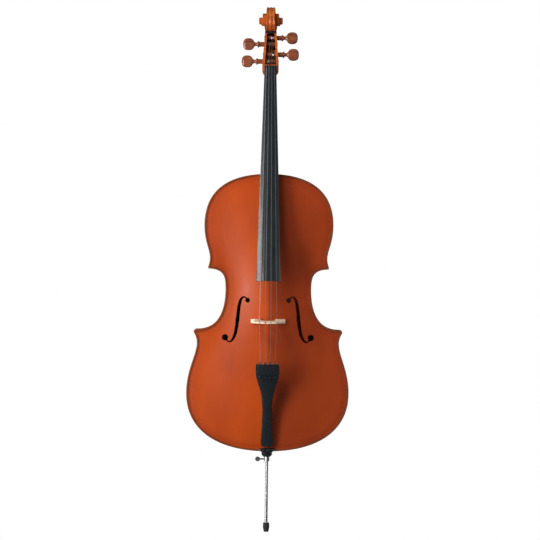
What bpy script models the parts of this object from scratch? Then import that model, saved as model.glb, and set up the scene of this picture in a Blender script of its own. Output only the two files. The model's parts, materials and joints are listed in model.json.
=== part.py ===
"""A full-size cello, standing upright on its endpin, as separate wooden, metal and rubber pieces.

Sizes are in millimetres, and every mesh is scaled to metres as its object is made. X runs across the body
(+X is the treble side), -Y is the front, +Z is up. The origin is the foot of the endpin. The body's own
heights are measured from its lower edge, which stands BODY_FOOT above the floor.
"""

import math

import bmesh
import bpy
from mathutils import Vector
from mathutils.bvhtree import BVHTree

MM = 0.001
CLEAR = 0.3  # gap between pieces that touch or are glued

# Body
BODY_FOOT = 224.5
BODY_LENGTH = 755.0
LOWER_BOUT = 442.0
UPPER_BOUT = 351.0
WAIST = 233.0
RIB_HEIGHT = 116.0
EDGE = 4.5  # plate thickness at the edge
PLATE = 5.2  # plate thickness under the arch
OVERHANG = 3.5
RIB = 1.5
TOP_RISE = 20.5
BACK_RISE = 22.5
CHANNEL = 12.0  # flat border between the outline and the foot of the arch
LINING = (2.0, 14.0)  # thickness and height
TOP_BLOCK = (48.0, 22.0)  # half width and thickness
END_BLOCK = (45.0, 24.0)
CORNER_BLOCK = (34.0, 36.0)  # length along the waist and along the bout
BUTTON = (17.0, 19.0)  # half width and height above the body

# Neck, fingerboard and head
NECK_SLOPE = math.radians(9.4)
OVERSTAND = 22.0  # the neck's front face above the top plate's edge
NECK_LENGTH = 291.0
FINGERBOARD_LENGTH = 588.0
BOARD_HALF = (16.2, 33.0)  # half width at the nut and at the bridge end
BOARD_SIDE = 6.0
BOARD_RADIUS = 62.0
NUT_DEPTH = 7.5
NUT_RISE = 1.6
TENON = 9.5
HEEL_HALF = 16.5
MORTISE_CLEAR = 0.35
EYE = (15.8, 1178.0)  # centre of the volute: y, and height above the body's lower edge
EYE_RADIUS = 9.5
VOLUTE_START = 45.0
VOLUTE_TURN = 840.0
VOLUTE_PHASE = -120.0

# Bridge, strings and tailpiece
BRIDGE_STOP = 355.0
BRIDGE_HEIGHT = 90.0
BRIDGE_THICK = (11.0, 2.8)
STRING_NAMES = ("c", "g", "d", "a")
STRING_RADIUS = (0.85, 0.7, 0.58, 0.45)
BRIDGE_SPREAD = 47.0
NUT_SPREAD = 22.5
TAIL_SPREAD = 39.0
TAIL_LOW = (-78.0, 14.0)  # y and height of the tailpiece's front face at its lower end
TAIL_HIGH = (-141.5, 238.0)
TAIL_HALF = 32.0
TAIL_WALL = 3.2
LEVER_ARM = 20.0
AXLE_PLACE = (13.0, 10.0)  # from the tailpiece's upper end, and behind its front face
SADDLE_HALF = 19.0
SADDLE_DEPTH = 9.0
SADDLE_RISE = 9.0

# Pegs: side of the head (-1 is the bass side), place along the neck line and depth below it
PEG_PLACES = {
    "c": (-1, 316.0, -17.0),
    "a": (1, 337.0, -23.0),
    "g": (-1, 368.0, -31.0),
    "d": (1, 387.0, -35.0),
}
PEG_RADIUS = 6.0
PEG_TAPER = 0.02
PEG_HEAD = 16.5
PEG_NECK = 27.0  # from the pegbox to the head
WINDING_X = {"c": -7.0, "g": -3.2, "d": 3.2, "a": 7.0}
WINDING_LENGTH = 6.0

# Endpin
PLUG_RADIUS = 15.0
PLUG_SHANK = (12.5, 11.0)
PLUG_TOP = 46.0
PLUG_FOOT = -18.5
CORD_RADIUS = 1.6
LINER = (6.0, 7.2)
LINER_FOOT = -31.0
ROD_RADIUS = 4.0
ROD_TOP = 270.0
SCREW_HEIGHT = -25.0
TIP_TOP = 25.0
TIP_RADIUS = 9.0
FOOT_RADIUS = 6.0

BODY_END = BODY_FOOT + BODY_LENGTH
FRONT_FACE = RIB_HEIGHT / 2
STOP_TOP = FRONT_FACE + EDGE + TOP_RISE


# ---------------------------------------------------------------- materials


def material(name, colour, roughness, metallic=0.0):
    made = bpy.data.materials.get(name) or bpy.data.materials.new(name)
    made.use_nodes = True
    shader = made.node_tree.nodes["Principled BSDF"]
    shader.inputs["Base Color"].default_value = (*colour, 1.0)
    shader.inputs["Roughness"].default_value = roughness
    shader.inputs["Metallic"].default_value = metallic
    return made


def varnished_spruce():
    return material("varnished_spruce", (0.50, 0.10, 0.02), 0.25)


def varnished_maple():
    return material("varnished_maple", (0.42, 0.09, 0.02), 0.25)


def bare_spruce():
    return material("bare_spruce", (0.72, 0.56, 0.36), 0.6)


def bare_maple():
    return material("bare_maple", (0.80, 0.60, 0.38), 0.5)


def black_wood():
    return material("black_wood", (0.02, 0.022, 0.024), 0.35)


def peg_wood():
    return material("peg_wood", (0.24, 0.08, 0.04), 0.35)


def black_resin():
    return material("black_resin", (0.02, 0.024, 0.026), 0.3)


def steel():
    return material("steel", (0.62, 0.62, 0.63), 0.25, 1.0)


def rubber():
    return material("rubber", (0.02, 0.02, 0.02), 0.7)


# ---------------------------------------------------------------- mesh helpers


def add_object(name, bm, finish, origin=(0, 0, 0), helper=False):
    """Makes an object of a mesh in millimetres, its origin at that point. A helper stays out of the part."""
    bmesh.ops.recalc_face_normals(bm, faces=bm.faces)
    centre = Vector(origin)
    for vertex in bm.verts:
        vertex.co = (vertex.co - centre) * MM
    mesh = bpy.data.meshes.new(name)
    bm.to_mesh(mesh)
    bm.free()
    mesh.shade_smooth()
    mesh.set_sharp_from_angle(angle=math.radians(35))
    obj = bpy.data.objects.new(name, mesh)
    obj.location = centre * MM
    bpy.context.scene.collection.objects.link(obj)
    if helper:
        obj.hide_render = True
        obj.display_type = "WIRE"
    else:
        mesh.materials.append(finish())
    return obj


def loft(rings, cyclic=False):
    """Joins rings of the same number of points, in order, and closes both ends, or the loop."""
    bm = bmesh.new()
    made = [[bm.verts.new(point) for point in ring] for ring in rings]
    count = len(rings[0])
    pairs = list(zip(made, made[1:] + made[:1] if cyclic else made[1:]))
    for near, far in pairs:
        for i in range(count):
            j = (i + 1) % count
            bm.faces.new((near[i], near[j], far[j], far[i]))
    if not cyclic:
        bm.faces.new(made[0][::-1])
        bm.faces.new(made[-1])
    return bm


def prism(outline, low, high):
    """Extrudes an outline of (x, z) points along Y."""
    return loft([[(x, y, z) for x, z in outline] for y in (low, high)])


def turned(profile, axis="Z", centre=(0, 0, 0), sides=16):
    """Turns a closed outline of (radius, place) points about an axis. It is solid where it meets radius 0."""
    bm = bmesh.new()
    loops = []
    for step in range(sides):
        angle = 2 * math.pi * (step + 0.5) / sides
        across, along = math.cos(angle), math.sin(angle)
        loop = []
        for radius, place in profile:
            if axis == "Z":
                point = (radius * across, radius * along, place)
            else:
                point = (place, radius * across, radius * along)
            loop.append(bm.verts.new(Vector(point) + Vector(centre)))
        loops.append(loop)
    for step in range(sides):
        near, far = loops[step], loops[(step + 1) % sides]
        for i in range(len(profile)):
            j = (i + 1) % len(profile)
            bm.faces.new((near[i], near[j], far[j], far[i]))
    bmesh.ops.remove_doubles(bm, verts=bm.verts, dist=0.01)
    bmesh.ops.delete(bm, geom=[edge for edge in bm.edges if not edge.link_faces], context="EDGES")
    return bm


def drilled(target, tools, operation="DIFFERENCE"):
    """Cuts each helper from the target, or joins it on."""
    for tool in tools:
        cut = target.modifiers.new(tool.name, "BOOLEAN")
        cut.operation = operation
        cut.solver = "EXACT"
        cut.object = tool


def tube(name, points, radius, finish, sides=2):
    """A cord or string: a poly curve with a round section and closed ends."""
    curve = bpy.data.curves.new(name, "CURVE")
    curve.dimensions = "3D"
    curve.bevel_depth = radius * MM
    curve.bevel_resolution = sides
    curve.use_fill_caps = True
    spline = curve.splines.new("POLY")
    spline.points.add(len(points) - 1)
    for node, point in zip(spline.points, points):
        node.co = (*(Vector(point) * MM), 1.0)
    obj = bpy.data.objects.new(name, curve)
    bpy.context.scene.collection.objects.link(obj)
    curve.materials.append(finish())
    return obj


def spline_through(points, steps):
    """A smooth Catmull-Rom line through points, with steps pieces between each pair."""
    vectors = [Vector(p) for p in points]
    padded = [2 * vectors[0] - vectors[1], *vectors, 2 * vectors[-1] - vectors[-2]]
    line = []
    for a, b, c, d in zip(padded, padded[1:], padded[2:], padded[3:]):
        for step in range(steps):
            t = step / steps
            line.append(0.5 * (2 * b + (c - a) * t + (2 * a - 5 * b + 4 * c - d) * t * t
                               + (3 * b - a - 3 * c + d) * t * t * t))
    return [*line, vectors[-1]]


def between(knots, at):
    """Reads a value from (place, value) knots with straight lines between them."""
    for (a, low), (b, high) in zip(knots, knots[1:]):
        if at <= b:
            return low + (high - low) * max(0.0, at - a) / (b - a)
    return knots[-1][1]


# ---------------------------------------------------------------- outline of the body


def bezier(start, first, second, end, count):
    """Points of a cubic curve, without its last one."""
    line = []
    for step in range(count):
        t = step / count
        u = 1 - t
        line.append(tuple(u**3 * a + 3 * u * u * t * b + 3 * u * t * t * c + t**3 * d
                          for a, b, c, d in zip(start, first, second, end)))
    return line


class Edge:
    """One stretch of the treble half's outline, from low to high, with the body on its left."""

    def __init__(self, points):
        self.points = [Vector(p) for p in points]
        self.normals = []
        for i, point in enumerate(self.points):
            before = self.points[max(i - 1, 0)]
            after = self.points[min(i + 1, len(self.points) - 1)]
            along = (after - before).normalized()
            self.normals.append(Vector((-along.y, along.x)))
        if abs(self.points[0].x) < 1e-6:
            self.normals[0] = Vector((0, 1))
        if abs(self.points[-1].x) < 1e-6:
            self.normals[-1] = Vector((0, -1))
        self.places = [0.0]
        for a, b in zip(self.points, self.points[1:]):
            self.places.append(self.places[-1] + (b - a).length)
        self.length = self.places[-1]

    def inset(self, distance):
        """The whole stretch moved into the body."""
        return [p + n * distance for p, n in zip(self.points, self.normals)]

    def inset_part(self, distance, start, end):
        """The moved stretch between two places along it."""
        line = self.inset(distance)
        kept = [line[i] for i, place in enumerate(self.places) if start + 0.01 < place < end - 0.01]
        return [self.at(line, start), *kept, self.at(line, end)]

    def at(self, line, place):
        for i in range(len(line) - 1):
            if place <= self.places[i + 1]:
                break
        share = (place - self.places[i]) / (self.places[i + 1] - self.places[i])
        return line[i].lerp(line[i + 1], share)


def crossing(first, second, distance):
    """Where two edges moved in by one distance cross, past their ends if need be: the place along each."""
    one, two = first.inset(distance), second.inset(distance)
    for i in range(len(one) - 1, 0, -1):
        for j in range(len(two) - 1):
            a, b, c, d = one[i - 1], one[i], two[j], two[j + 1]
            turn = (b - a).cross(d - c)
            if abs(turn) < 1e-9:
                continue
            s, t = (c - a).cross(d - c) / turn, (c - a).cross(b - a) / turn
            last, opening = i == len(one) - 1, j == 0
            if 0 <= s <= (4 if last else 1) and (-4 if opening else 0) <= t <= 1:
                here = first.places[i - 1] + s * (first.places[i] - first.places[i - 1])
                there = second.places[j] + t * (second.places[j + 1] - second.places[j])
                return here, there
    raise ValueError("the edges don't cross")


def body_edges():
    """The lower bout, the waist and the upper bout of the treble half, meeting at blunt corners."""
    low, high, waist = LOWER_BOUT / 2, UPPER_BOUT / 2, WAIST / 2
    lower_wide, upper_wide, narrow = 0.209 * BODY_LENGTH, 0.815 * BODY_LENGTH, 0.583 * BODY_LENGTH
    lower_corner = (low - 19.6, 0.4255 * BODY_LENGTH)
    waist_foot = (low - 20.0, 0.4365 * BODY_LENGTH)
    waist_head = (high - 12.0, 0.6570 * BODY_LENGTH)
    upper_corner = (high - 12.5, 0.6695 * BODY_LENGTH)
    bottom = bezier((0, 0), (144, 0), (low, lower_wide - 96), (low, lower_wide), 11)
    flank = bezier((low, lower_wide), (low, lower_wide + 83),
                   (low - 46, lower_corner[1] - 40), lower_corner, 7)
    waist_low = bezier(waist_foot, (waist + 11.5, waist_foot[1] - 2), (waist, narrow - 45),
                       (waist, narrow), 7)
    waist_high = bezier((waist, narrow), (waist, narrow + 33), (waist + 3.5, waist_head[1] - 1),
                        waist_head, 6)
    shoulder = bezier(upper_corner, (high - 24.5, upper_corner[1] + 35), (high, upper_wide - 59),
                      (high, upper_wide), 6)
    crown = bezier((high, upper_wide), (high, upper_wide + 81), (high - 48, BODY_LENGTH),
                   (0, BODY_LENGTH), 10)
    lower = Edge([*bottom, *flank, lower_corner])
    middle = Edge([*waist_low, *waist_high, waist_head])
    upper = Edge([*shoulder, *crown, (0, BODY_LENGTH)])
    return lower, middle, upper


# ---------------------------------------------------------------- arching


def smooth(t):
    t = min(1.0, max(0.0, t))
    return t * t * (3 - 2 * t)


def half_width(height, lower, upper):
    """Half the body's width at a height, passing inside the corners: the arching follows this."""
    low, high, waist = LOWER_BOUT / 2, UPPER_BOUT / 2, WAIST / 2
    lower_wide, upper_wide, narrow = 0.209 * BODY_LENGTH, 0.815 * BODY_LENGTH, 0.583 * BODY_LENGTH
    if height <= 0 or height >= BODY_LENGTH:
        return 0.0
    if height < lower_wide:
        return next(a.x + (b.x - a.x) * (height - a.y) / (b.y - a.y)
                    for a, b in zip(lower.points, lower.points[1:]) if b.y >= height)
    if height < narrow:
        return low + (waist - low) * smooth((height - lower_wide) / (narrow - lower_wide))
    if height < upper_wide:
        return waist + (high - waist) * smooth((height - narrow) / (upper_wide - narrow))
    return next(a.x + (b.x - a.x) * (height - a.y) / (b.y - a.y)
                for a, b in zip(upper.points, upper.points[1:]) if b.y >= height >= a.y)


def arch(x, height, rise, edges):
    """How far a plate swells above its flat border: a full long arch times a rounded cross arch."""
    along = (height - CHANNEL) / (BODY_LENGTH - 2 * CHANNEL)
    if not 0 < along < 1:
        return 0.0
    reach = half_width(height, edges[0], edges[2]) - CHANNEL
    if reach <= 1 or abs(x) >= reach:
        return 0.0
    lengthwise = math.sin(math.pi / 2 * (1 - abs(2 * along - 1) ** 2.3))
    crosswise = (0.5 + 0.5 * math.cos(math.pi * x / reach)) ** 0.85
    return rise * lengthwise * crosswise


def plate(name, side, rise, finish, edges, button=False):
    """A carved plate: rows of points run from the outline in to the centre line, outside and inside."""
    outline = [p for edge in edges for p in edge.points]
    if button:
        half, height = BUTTON
        start = next(i for i, p in enumerate(outline) if p.y > BODY_LENGTH / 2 and p.x < half + 6)
        cap = [Vector((half, outline[start].y + 3))]
        for step in range(6):
            turn = math.radians(90 * step / 5)
            cap.append(Vector((half * math.cos(turn),
                               BODY_LENGTH + height - half + half * math.sin(turn))))
        outline = [*outline[:start], *cap]
    lengths = [0.0]
    for a, b in zip(outline, outline[1:]):
        lengths.append(lengths[-1] + (b - a).length)
    centre_low, centre_high = 60.0, BODY_LENGTH - 50.0
    shares = (0.0, 0.08, 0.22, 0.4, 0.6, 0.8, 1.0)
    bm = bmesh.new()
    grids = {}
    for face in ("outer", "inner"):
        rows = []
        for point, length in zip(outline, lengths):
            share = 0.85 * min(point.y, BODY_LENGTH) / BODY_LENGTH + 0.15 * length / lengths[-1]
            centre = Vector((0, centre_low + (centre_high - centre_low) * share))
            row = []
            for place in shares:
                at = point.lerp(centre, place)
                swell = arch(at.x, at.y, rise, edges)
                if face == "outer":
                    depth = FRONT_FACE + EDGE + swell
                else:
                    depth = FRONT_FACE + max(0.0, swell + EDGE - PLATE)
                row.append(bm.verts.new((at.x, side * depth, BODY_FOOT + at.y)))
            rows.append(row)
        grids[face] = rows
    for rows in grids.values():
        for near, far in zip(rows, rows[1:]):
            for i in range(len(shares) - 1):
                bm.faces.new((near[i], near[i + 1], far[i + 1], far[i]))
    outer_steps = zip(grids["outer"], grids["outer"][1:])
    inner_steps = zip(grids["inner"], grids["inner"][1:])
    for (a, b), (c, d) in zip(outer_steps, inner_steps):
        bm.faces.new((a[0], b[0], d[0], c[0]))
    obj = add_object(name, bm, finish)
    mirror = obj.modifiers.new("both_halves", "MIRROR")
    mirror.use_clip = True
    mirror.merge_threshold = 0.00001
    return obj


def sound_hole_tools():
    """Cutters for both sound holes: a swelling S-shaped stem with a notch, between two round eyes."""
    spine = spline_through([(56.5, 414.0), (61, 418), (67, 419.8), (74, 413.5), (78.5, 398),
                            (81, 378), (83, 358),
                            (85.5, 338), (89.5, 318), (96, 304), (104.5, 297.5), (114, 303.5)], 2)
    halves = [(0.0, 1.5), (0.15, 1.9), (0.35, 4.4), (0.55, 5.0), (0.75, 4.0), (0.9, 2.1), (1.0, 1.8)]
    left, right = [], []
    for i, point in enumerate(spine):
        along = (spine[min(i + 1, len(spine) - 1)] - spine[max(i - 1, 0)]).normalized()
        across = Vector((-along.y, along.x)) * between(halves, i / (len(spine) - 1))
        left.append(point + across)
        right.append(point - across)
    stem = [*left, *right[::-1]]
    notch = [(75.3, 357), (83, 355.2), (90.7, 359), (83, 360.8)]
    eyes = (((56.0, 411.0), 6.5), ((116.5, 309.5), 8.5))
    outlines = {"stem": stem, "notch": notch}
    for name, (centre, radius) in zip(("upper_eye", "lower_eye"), eyes):
        outlines[name] = [(centre[0] + radius * math.cos(math.radians(a)),
                           centre[1] + radius * math.sin(math.radians(a))) for a in range(0, 360, 24)]
    tools = []
    for side, where in ((-1, "bass"), (1, "treble")):
        for name, outline in outlines.items():
            placed = [(side * x, BODY_FOOT + z) for x, z in outline]
            bm = prism(placed, -STOP_TOP - 10, -FRONT_FACE + 6)
            tools.append(add_object(f"cut_{where}_{name}", bm, None, helper=True))
    return tools


def surface_reader(obj):
    """A function that finds where a line along Y first meets an object: its Y, coming from that side."""
    bpy.context.view_layer.update()
    graph = bpy.context.evaluated_depsgraph_get()
    tree = BVHTree.FromObject(obj, graph)

    def read(x, height, start, direction):
        origin = Vector((x, start, BODY_FOOT + height)) * MM - obj.location
        hit = tree.ray_cast(origin, Vector((0, direction, 0)))
        return hit[0].y / MM

    return read


# ---------------------------------------------------------------- ribs, linings and blocks


def both_sides(name, outline, low, high, finish):
    """The same prism on the treble and the bass side."""
    made = []
    for side, where in ((-1, "bass"), (1, "treble")):
        placed = [(side * x, BODY_FOOT + z) for x, z in outline]
        made.append(add_object(f"{name}_{where}", prism(placed, low, high), finish))
    return made


def strip(edge, outer, inner, ends_outer, ends_inner):
    """A bent strip between two insets of an edge."""
    front = edge.inset_part(outer, *ends_outer)
    back = edge.inset_part(inner, *ends_inner)
    return [(p.x, p.y) for p in (*front, *back[::-1])]


def ribs(edges):
    lower, middle, upper = edges
    outer, inner = OVERHANG, OVERHANG + RIB
    tall = FRONT_FACE - CLEAR
    low_out, mid_out = crossing(lower, middle, outer)
    low_in, mid_in = crossing(lower, middle, inner)
    head_out, up_out = crossing(middle, upper, outer)
    head_in, up_in = crossing(middle, upper, inner)
    front = lower.inset_part(outer, 0, low_out - CLEAR)
    back = lower.inset_part(inner, 0, low_in - CLEAR)
    around = [(-p.x, p.y) for p in front[:0:-1]] + [(p.x, p.y) for p in front]
    around += [(p.x, p.y) for p in back[::-1]] + [(-p.x, p.y) for p in back[1:]]
    placed = [(x, BODY_FOOT + z) for x, z in around]
    bottom = add_object("rib_lower", prism(placed, -tall, tall), varnished_maple)
    both_sides("rib_waist", strip(middle, outer, inner, (mid_out + CLEAR, head_out - CLEAR),
                                  (mid_in + CLEAR, head_in - CLEAR)), -tall, tall, varnished_maple)
    tops = both_sides("rib_upper", strip(upper, outer, inner, (up_out + CLEAR, upper.length - CLEAR),
                                         (up_in + CLEAR, upper.length - CLEAR)), -tall, tall,
                                         varnished_maple)
    return bottom, tops


def blocks_and_linings(edges):
    """Corner blocks, end blocks, and the linings that run between them behind the ribs."""
    lower, middle, upper = edges
    depth = OVERHANG + RIB + CLEAR
    tall = FRONT_FACE - CLEAR
    low_end, mid_start = crossing(lower, middle, depth)
    mid_end, up_start = crossing(middle, upper, depth)
    waist_way, bout_way = CORNER_BLOCK
    low_stop, mid_begin = low_end - bout_way, mid_start + waist_way
    mid_stop, up_begin = mid_end - waist_way, up_start + bout_way
    low_block = [*lower.inset_part(depth, low_stop, low_end),
                 *middle.inset_part(depth, mid_start, mid_begin)[1:]]
    up_block = [*middle.inset_part(depth, mid_stop, mid_end),
                *upper.inset_part(depth, up_start, up_begin)[1:]]
    both_sides("block_lower_corner", [(p.x, p.y) for p in low_block], -tall, tall, bare_spruce)
    both_sides("block_upper_corner", [(p.x, p.y) for p in up_block], -tall, tall, bare_spruce)

    def place_at(edge, half):
        for a, b, place, after in zip(edge.points, edge.points[1:], edge.places, edge.places[1:]):
            if min(a.x, b.x) <= half <= max(a.x, b.x):
                return place + (after - place) * (half - a.x) / (b.x - a.x)
        return edge.length

    end_place, top_place = place_at(lower, END_BLOCK[0]), place_at(upper, TOP_BLOCK[0])
    end_line = lower.inset_part(depth, 0, end_place)
    end_top = depth + END_BLOCK[1]
    end_half = [(p.x, p.y) for p in end_line] + [(end_line[-1].x, end_top)]
    end_block = add_object("block_end", prism([(x, BODY_FOOT + z) for x, z in mirrored(end_half)],
                                              -tall, tall),
                           bare_spruce)
    top_line = upper.inset_part(depth, top_place, upper.length)[::-1]
    top_low = BODY_LENGTH - depth - TOP_BLOCK[1]
    top_half = [(p.x, p.y) for p in top_line] + [(top_line[-1].x, top_low)]
    top_block = add_object("block_top", prism([(x, BODY_FOOT + z) for x, z in mirrored(top_half)],
                                              -tall, tall),
                           bare_spruce)
    gap = 1.0
    thick, high = LINING
    runs = {"lower": (lower, end_place + gap, low_stop - gap),
            "waist": (middle, mid_begin + gap, mid_stop - gap),
            "upper": (upper, up_begin + gap, top_place - gap)}
    for name, (edge, start, end) in runs.items():
        outline = strip(edge, depth, depth + thick, (start, end), (start, end))
        both_sides(f"lining_top_{name}", outline, -tall, -tall + high, bare_spruce)
        both_sides(f"lining_back_{name}", outline, tall - high, tall, bare_spruce)
    return end_block, top_block


def mirrored(half):
    """Closes a half outline that starts on the centre line."""
    return [(-x, z) for x, z in half[:0:-1]] + half


def bass_bar(read):
    """A long bar glued under the top plate on the bass side, deepest below the bridge."""
    rings = []
    for step in range(13):
        share = step / 12
        height = 75 + (BODY_LENGTH - 190) * share
        centre = -(28 - 6 * share)
        deep = 6 + 17 * math.sin(math.pi * share) ** 0.7
        ring = []
        for x in (centre - 5.5, centre + 5.5):
            ring.append((x, read(x, height, 0, -1) + 2 * CLEAR, BODY_FOOT + height))
        ring.append((centre + 4, ring[1][1] + deep, BODY_FOOT + height))
        ring.append((centre - 4, ring[0][1] + deep, BODY_FOOT + height))
        rings.append(ring)
    return add_object("bass_bar", loft(rings), bare_spruce)


def sound_post(read_top, read_back):
    """A round stick between the plates, just below the bridge's treble foot, its ends cut to fit them."""
    centre, height, radius = 31.0, BRIDGE_STOP - 14.0, 5.5
    ends = ([], [])
    for step in range(12):
        angle = 2 * math.pi * step / 12
        x, z = centre + radius * math.cos(angle), height + radius * math.sin(angle)
        ends[0].append((x, read_top(x, z, 0, -1) + 1.2 * CLEAR, BODY_FOOT + z))
        ends[1].append((x, read_back(x, z, 0, 1) - 1.2 * CLEAR, BODY_FOOT + z))
    return add_object("sound_post", loft(ends), bare_spruce)


# ---------------------------------------------------------------- neck and head


def on_neck(along, out, x=0.0):
    """A point from its place along the neck's front face, above the body, and its height off that face."""
    y = -(FRONT_FACE + EDGE + OVERSTAND) + math.sin(NECK_SLOPE) * along - math.cos(NECK_SLOPE) * out
    z = BODY_END + math.cos(NECK_SLOPE) * along + math.sin(NECK_SLOPE) * out
    return Vector((x, y, z))


def board_half(along):
    """Half the fingerboard's width at a place along the neck."""
    share = (NECK_LENGTH - along) / FINGERBOARD_LENGTH
    return BOARD_HALF[0] + (BOARD_HALF[1] - BOARD_HALF[0]) * share


def pegbox_half(along):
    return between([(292, 22.5), (302, 22.3), (410, 15.3), (424, 14.3)], along)


def section(front, back, front_half, back_half, square, count=12):
    """A ring with a flat front: from the front's treble corner round the back to its bass corner."""
    ring = []
    for step in range(count + 1):
        angle = math.pi * step / count
        across, deep = math.cos(angle), abs(math.sin(angle)) ** square
        half = front_half + (back_half - front_half) * deep
        point = front.lerp(back, deep)
        point.x = half * math.copysign(abs(across) ** square, across)
        ring.append(point)
    return ring


def neck_rings():
    """Sections of the tenon, the heel, the shaft and the pegbox, from the body up."""
    rings = []
    back_face = FRONT_FACE - CLEAR
    heel_foot, heel_head = BODY_END + BUTTON[1] - 3, on_neck(72, -23)
    edge_half = board_half(0) - 0.3

    def front_at(z):
        along = (z - BODY_END) / math.cos(NECK_SLOPE)
        return on_neck(along, 0)

    for z in (BODY_END - TENON, BODY_END - 2, BODY_END + 6):
        rings.append(section(front_at(z), Vector((0, back_face, z)), edge_half, HEEL_HALF, 0.3))
    for step in range(6):
        share = step / 5
        turn = math.radians(90 * share)
        back = Vector((0, back_face + (heel_head.y - back_face) * math.sin(turn),
                       heel_head.z + (heel_foot - heel_head.z) * math.cos(turn)))
        front = front_at(heel_foot + (heel_head.z - heel_foot) * share)
        half = edge_half + (board_half(72) - 0.3 - edge_half) * share
        back_half = HEEL_HALF + (half - HEEL_HALF) * share**2
        rings.append(section(front, back, half, back_half, 0.3 + 0.6 * share**0.7))
    for along, deep in ((120, -22), (180, -20.5), (235, -19.5), (270, -19.5)):
        rings.append(section(on_neck(along, 0), on_neck(along, deep), board_half(along) - 0.3,
                             board_half(along) - 0.3, 0.9))
    shoulders = ((276, 0, -21.5, 17.5, 0.75), (281, 0, -28, 21.0, 0.6), (288, 0, -36, 22.3, 0.5),
                 (296, 0, -41.5, 22.5, 0.42), (304, 0.5, -44, 22.2, 0.36))
    for along, out, deep, half, square in shoulders:
        rings.append(section(on_neck(along, out), on_neck(along, deep), half, half, square))
    for along, out, deep in ((330, -5.5, -49), (360, -13, -57), (390, -20.5, -65), (408, -30, -69.5),
                             (424, -48, -70)):
        half = pegbox_half(along)
        rings.append(section(on_neck(along, out), on_neck(along, deep), half, half, 0.34))
    return rings


def volute_radius(turn):
    return EYE_RADIUS + (VOLUTE_START - EYE_RADIUS) * max(0.0, 1 - turn / VOLUTE_TURN) ** 1.35


def volute_half(turn):
    """Half the scroll's width: narrowest over its front, widest at the eye."""
    return between([(0, 15.2), (120, 11.2), (200, 10.6), (300, 14.5), (390, 19.5), (480, 22.3),
                    (570, 23.6),
                    (660, 25.5), (750, 28.5), (840, 32.2)], turn)


def volute():
    """The scroll: a spiral band that climbs outwards to the eye on both sides, round an outer rim."""
    step_angle = 20
    steps, turn_steps = int(VOLUTE_TURN / step_angle), int(360 / step_angle)
    centre_y, centre_z = EYE[0], BODY_FOOT + EYE[1]

    def at(turn, radius, x):
        angle = math.radians(VOLUTE_PHASE + turn)
        return Vector((x, centre_y - radius * math.sin(angle), centre_z + radius * math.cos(angle)))

    bm = bmesh.new()
    top, foot, eye = {}, {}, {}
    for side in (-1, 1):
        for i in range(steps + 1):
            turn = i * step_angle
            half = volute_half(turn)
            if i < steps:
                top[side, i] = bm.verts.new(at(turn, volute_radius(turn), side * half))
                inner = volute_radius(min(turn + 360, VOLUTE_TURN))
                foot[side, i] = bm.verts.new(at(turn, inner, side * half))
        for k in range(turn_steps):
            turn = VOLUTE_TURN + k * step_angle
            eye[side, k] = bm.verts.new(at(turn, EYE_RADIUS, side * volute_half(VOLUTE_TURN)))
        top[side, steps] = foot[side, steps] = eye[side, 0]
        first = steps - turn_steps

        def ring_point(i):
            return eye[side, (i - first) % turn_steps]

        for i in range(steps):
            band = [top[side, i], top[side, i + 1], foot[side, i + 1], foot[side, i]]
            bm.faces.new(list(dict.fromkeys(band)))
            if i < first:
                wall = [foot[side, i], foot[side, i + 1], top[side, i + 1 + turn_steps],
                        top[side, i + turn_steps]]
            else:
                wall = [foot[side, i], foot[side, i + 1], ring_point(i + 1), ring_point(i)]
            bm.faces.new(list(dict.fromkeys(wall)))
        bm.faces.new([eye[side, k] for k in range(turn_steps)])
    for i in range(turn_steps):
        step_line = [foot[-1, 0], foot[1, 0]] if i == turn_steps - 1 else []
        bm.faces.new((top[-1, i], top[-1, i + 1], *step_line, top[1, i + 1], top[1, i]))
    bm.faces.new((top[1, 0], foot[1, 0], foot[-1, 0], top[-1, 0]))
    return bm


def pegbox_hollow():
    """The cutter for the string box: open at the front, narrower towards the scroll."""
    rings = []
    for along, half, floor in ((303.5, 15.5, -33), (330, 14.2, -39), (360, 12.6, -46.5), (388, 11.2, -53),
                               (399, 10.4, -46)):
        front = 14.0 if along < 399 else -12.0
        rings.append([on_neck(along, front, half), on_neck(along, floor, half * 0.9),
                      on_neck(along, floor, -half * 0.9), on_neck(along, front, -half)])
    return loft(rings)


def peg_radius(outward):
    """The peg's taper: its radius at a distance from the centre line, towards its head."""
    return PEG_RADIUS + PEG_TAPER * outward


def peg_hole_tool(name):
    side, along, out = PEG_PLACES[name]
    centre = on_neck(along, out)
    reach = 30.0
    profile = [(0, -reach * side), (peg_radius(-reach) + CLEAR, -reach * side),
               (peg_radius(reach) + CLEAR, reach * side), (0, reach * side)]
    return add_object(f"cut_peg_{name}", turned(profile, "X", centre, 12), None, helper=True)


def neck():
    obj = add_object("neck", loft(neck_rings()), varnished_maple)
    drilled(obj, [add_object("join_volute", volute(), None, helper=True)], "UNION")
    drilled(obj, [add_object("cut_pegbox", pegbox_hollow(), None, helper=True)])
    drilled(obj, [peg_hole_tool(name) for name in STRING_NAMES])
    return obj


def mortise_tool():
    """The pocket for the neck's tenon, through the top plate's edge, the upper ribs and the top block."""
    front, back = -(FRONT_FACE + EDGE + OVERSTAND + 12), FRONT_FACE - CLEAR / 2
    wide, narrow = board_half(0) + MORTISE_CLEAR, HEEL_HALF + MORTISE_CLEAR
    low, high = BODY_END - TENON - MORTISE_CLEAR, BODY_END + 30
    rings = [[(half * side, y, z) for half, y,
              side in ((wide, front, 1), (narrow, back, 1), (narrow, back, -1),
                                                       (wide, front, -1))] for z in (low, high)]
    return add_object("cut_mortise", loft(rings), None, helper=True)


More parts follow.
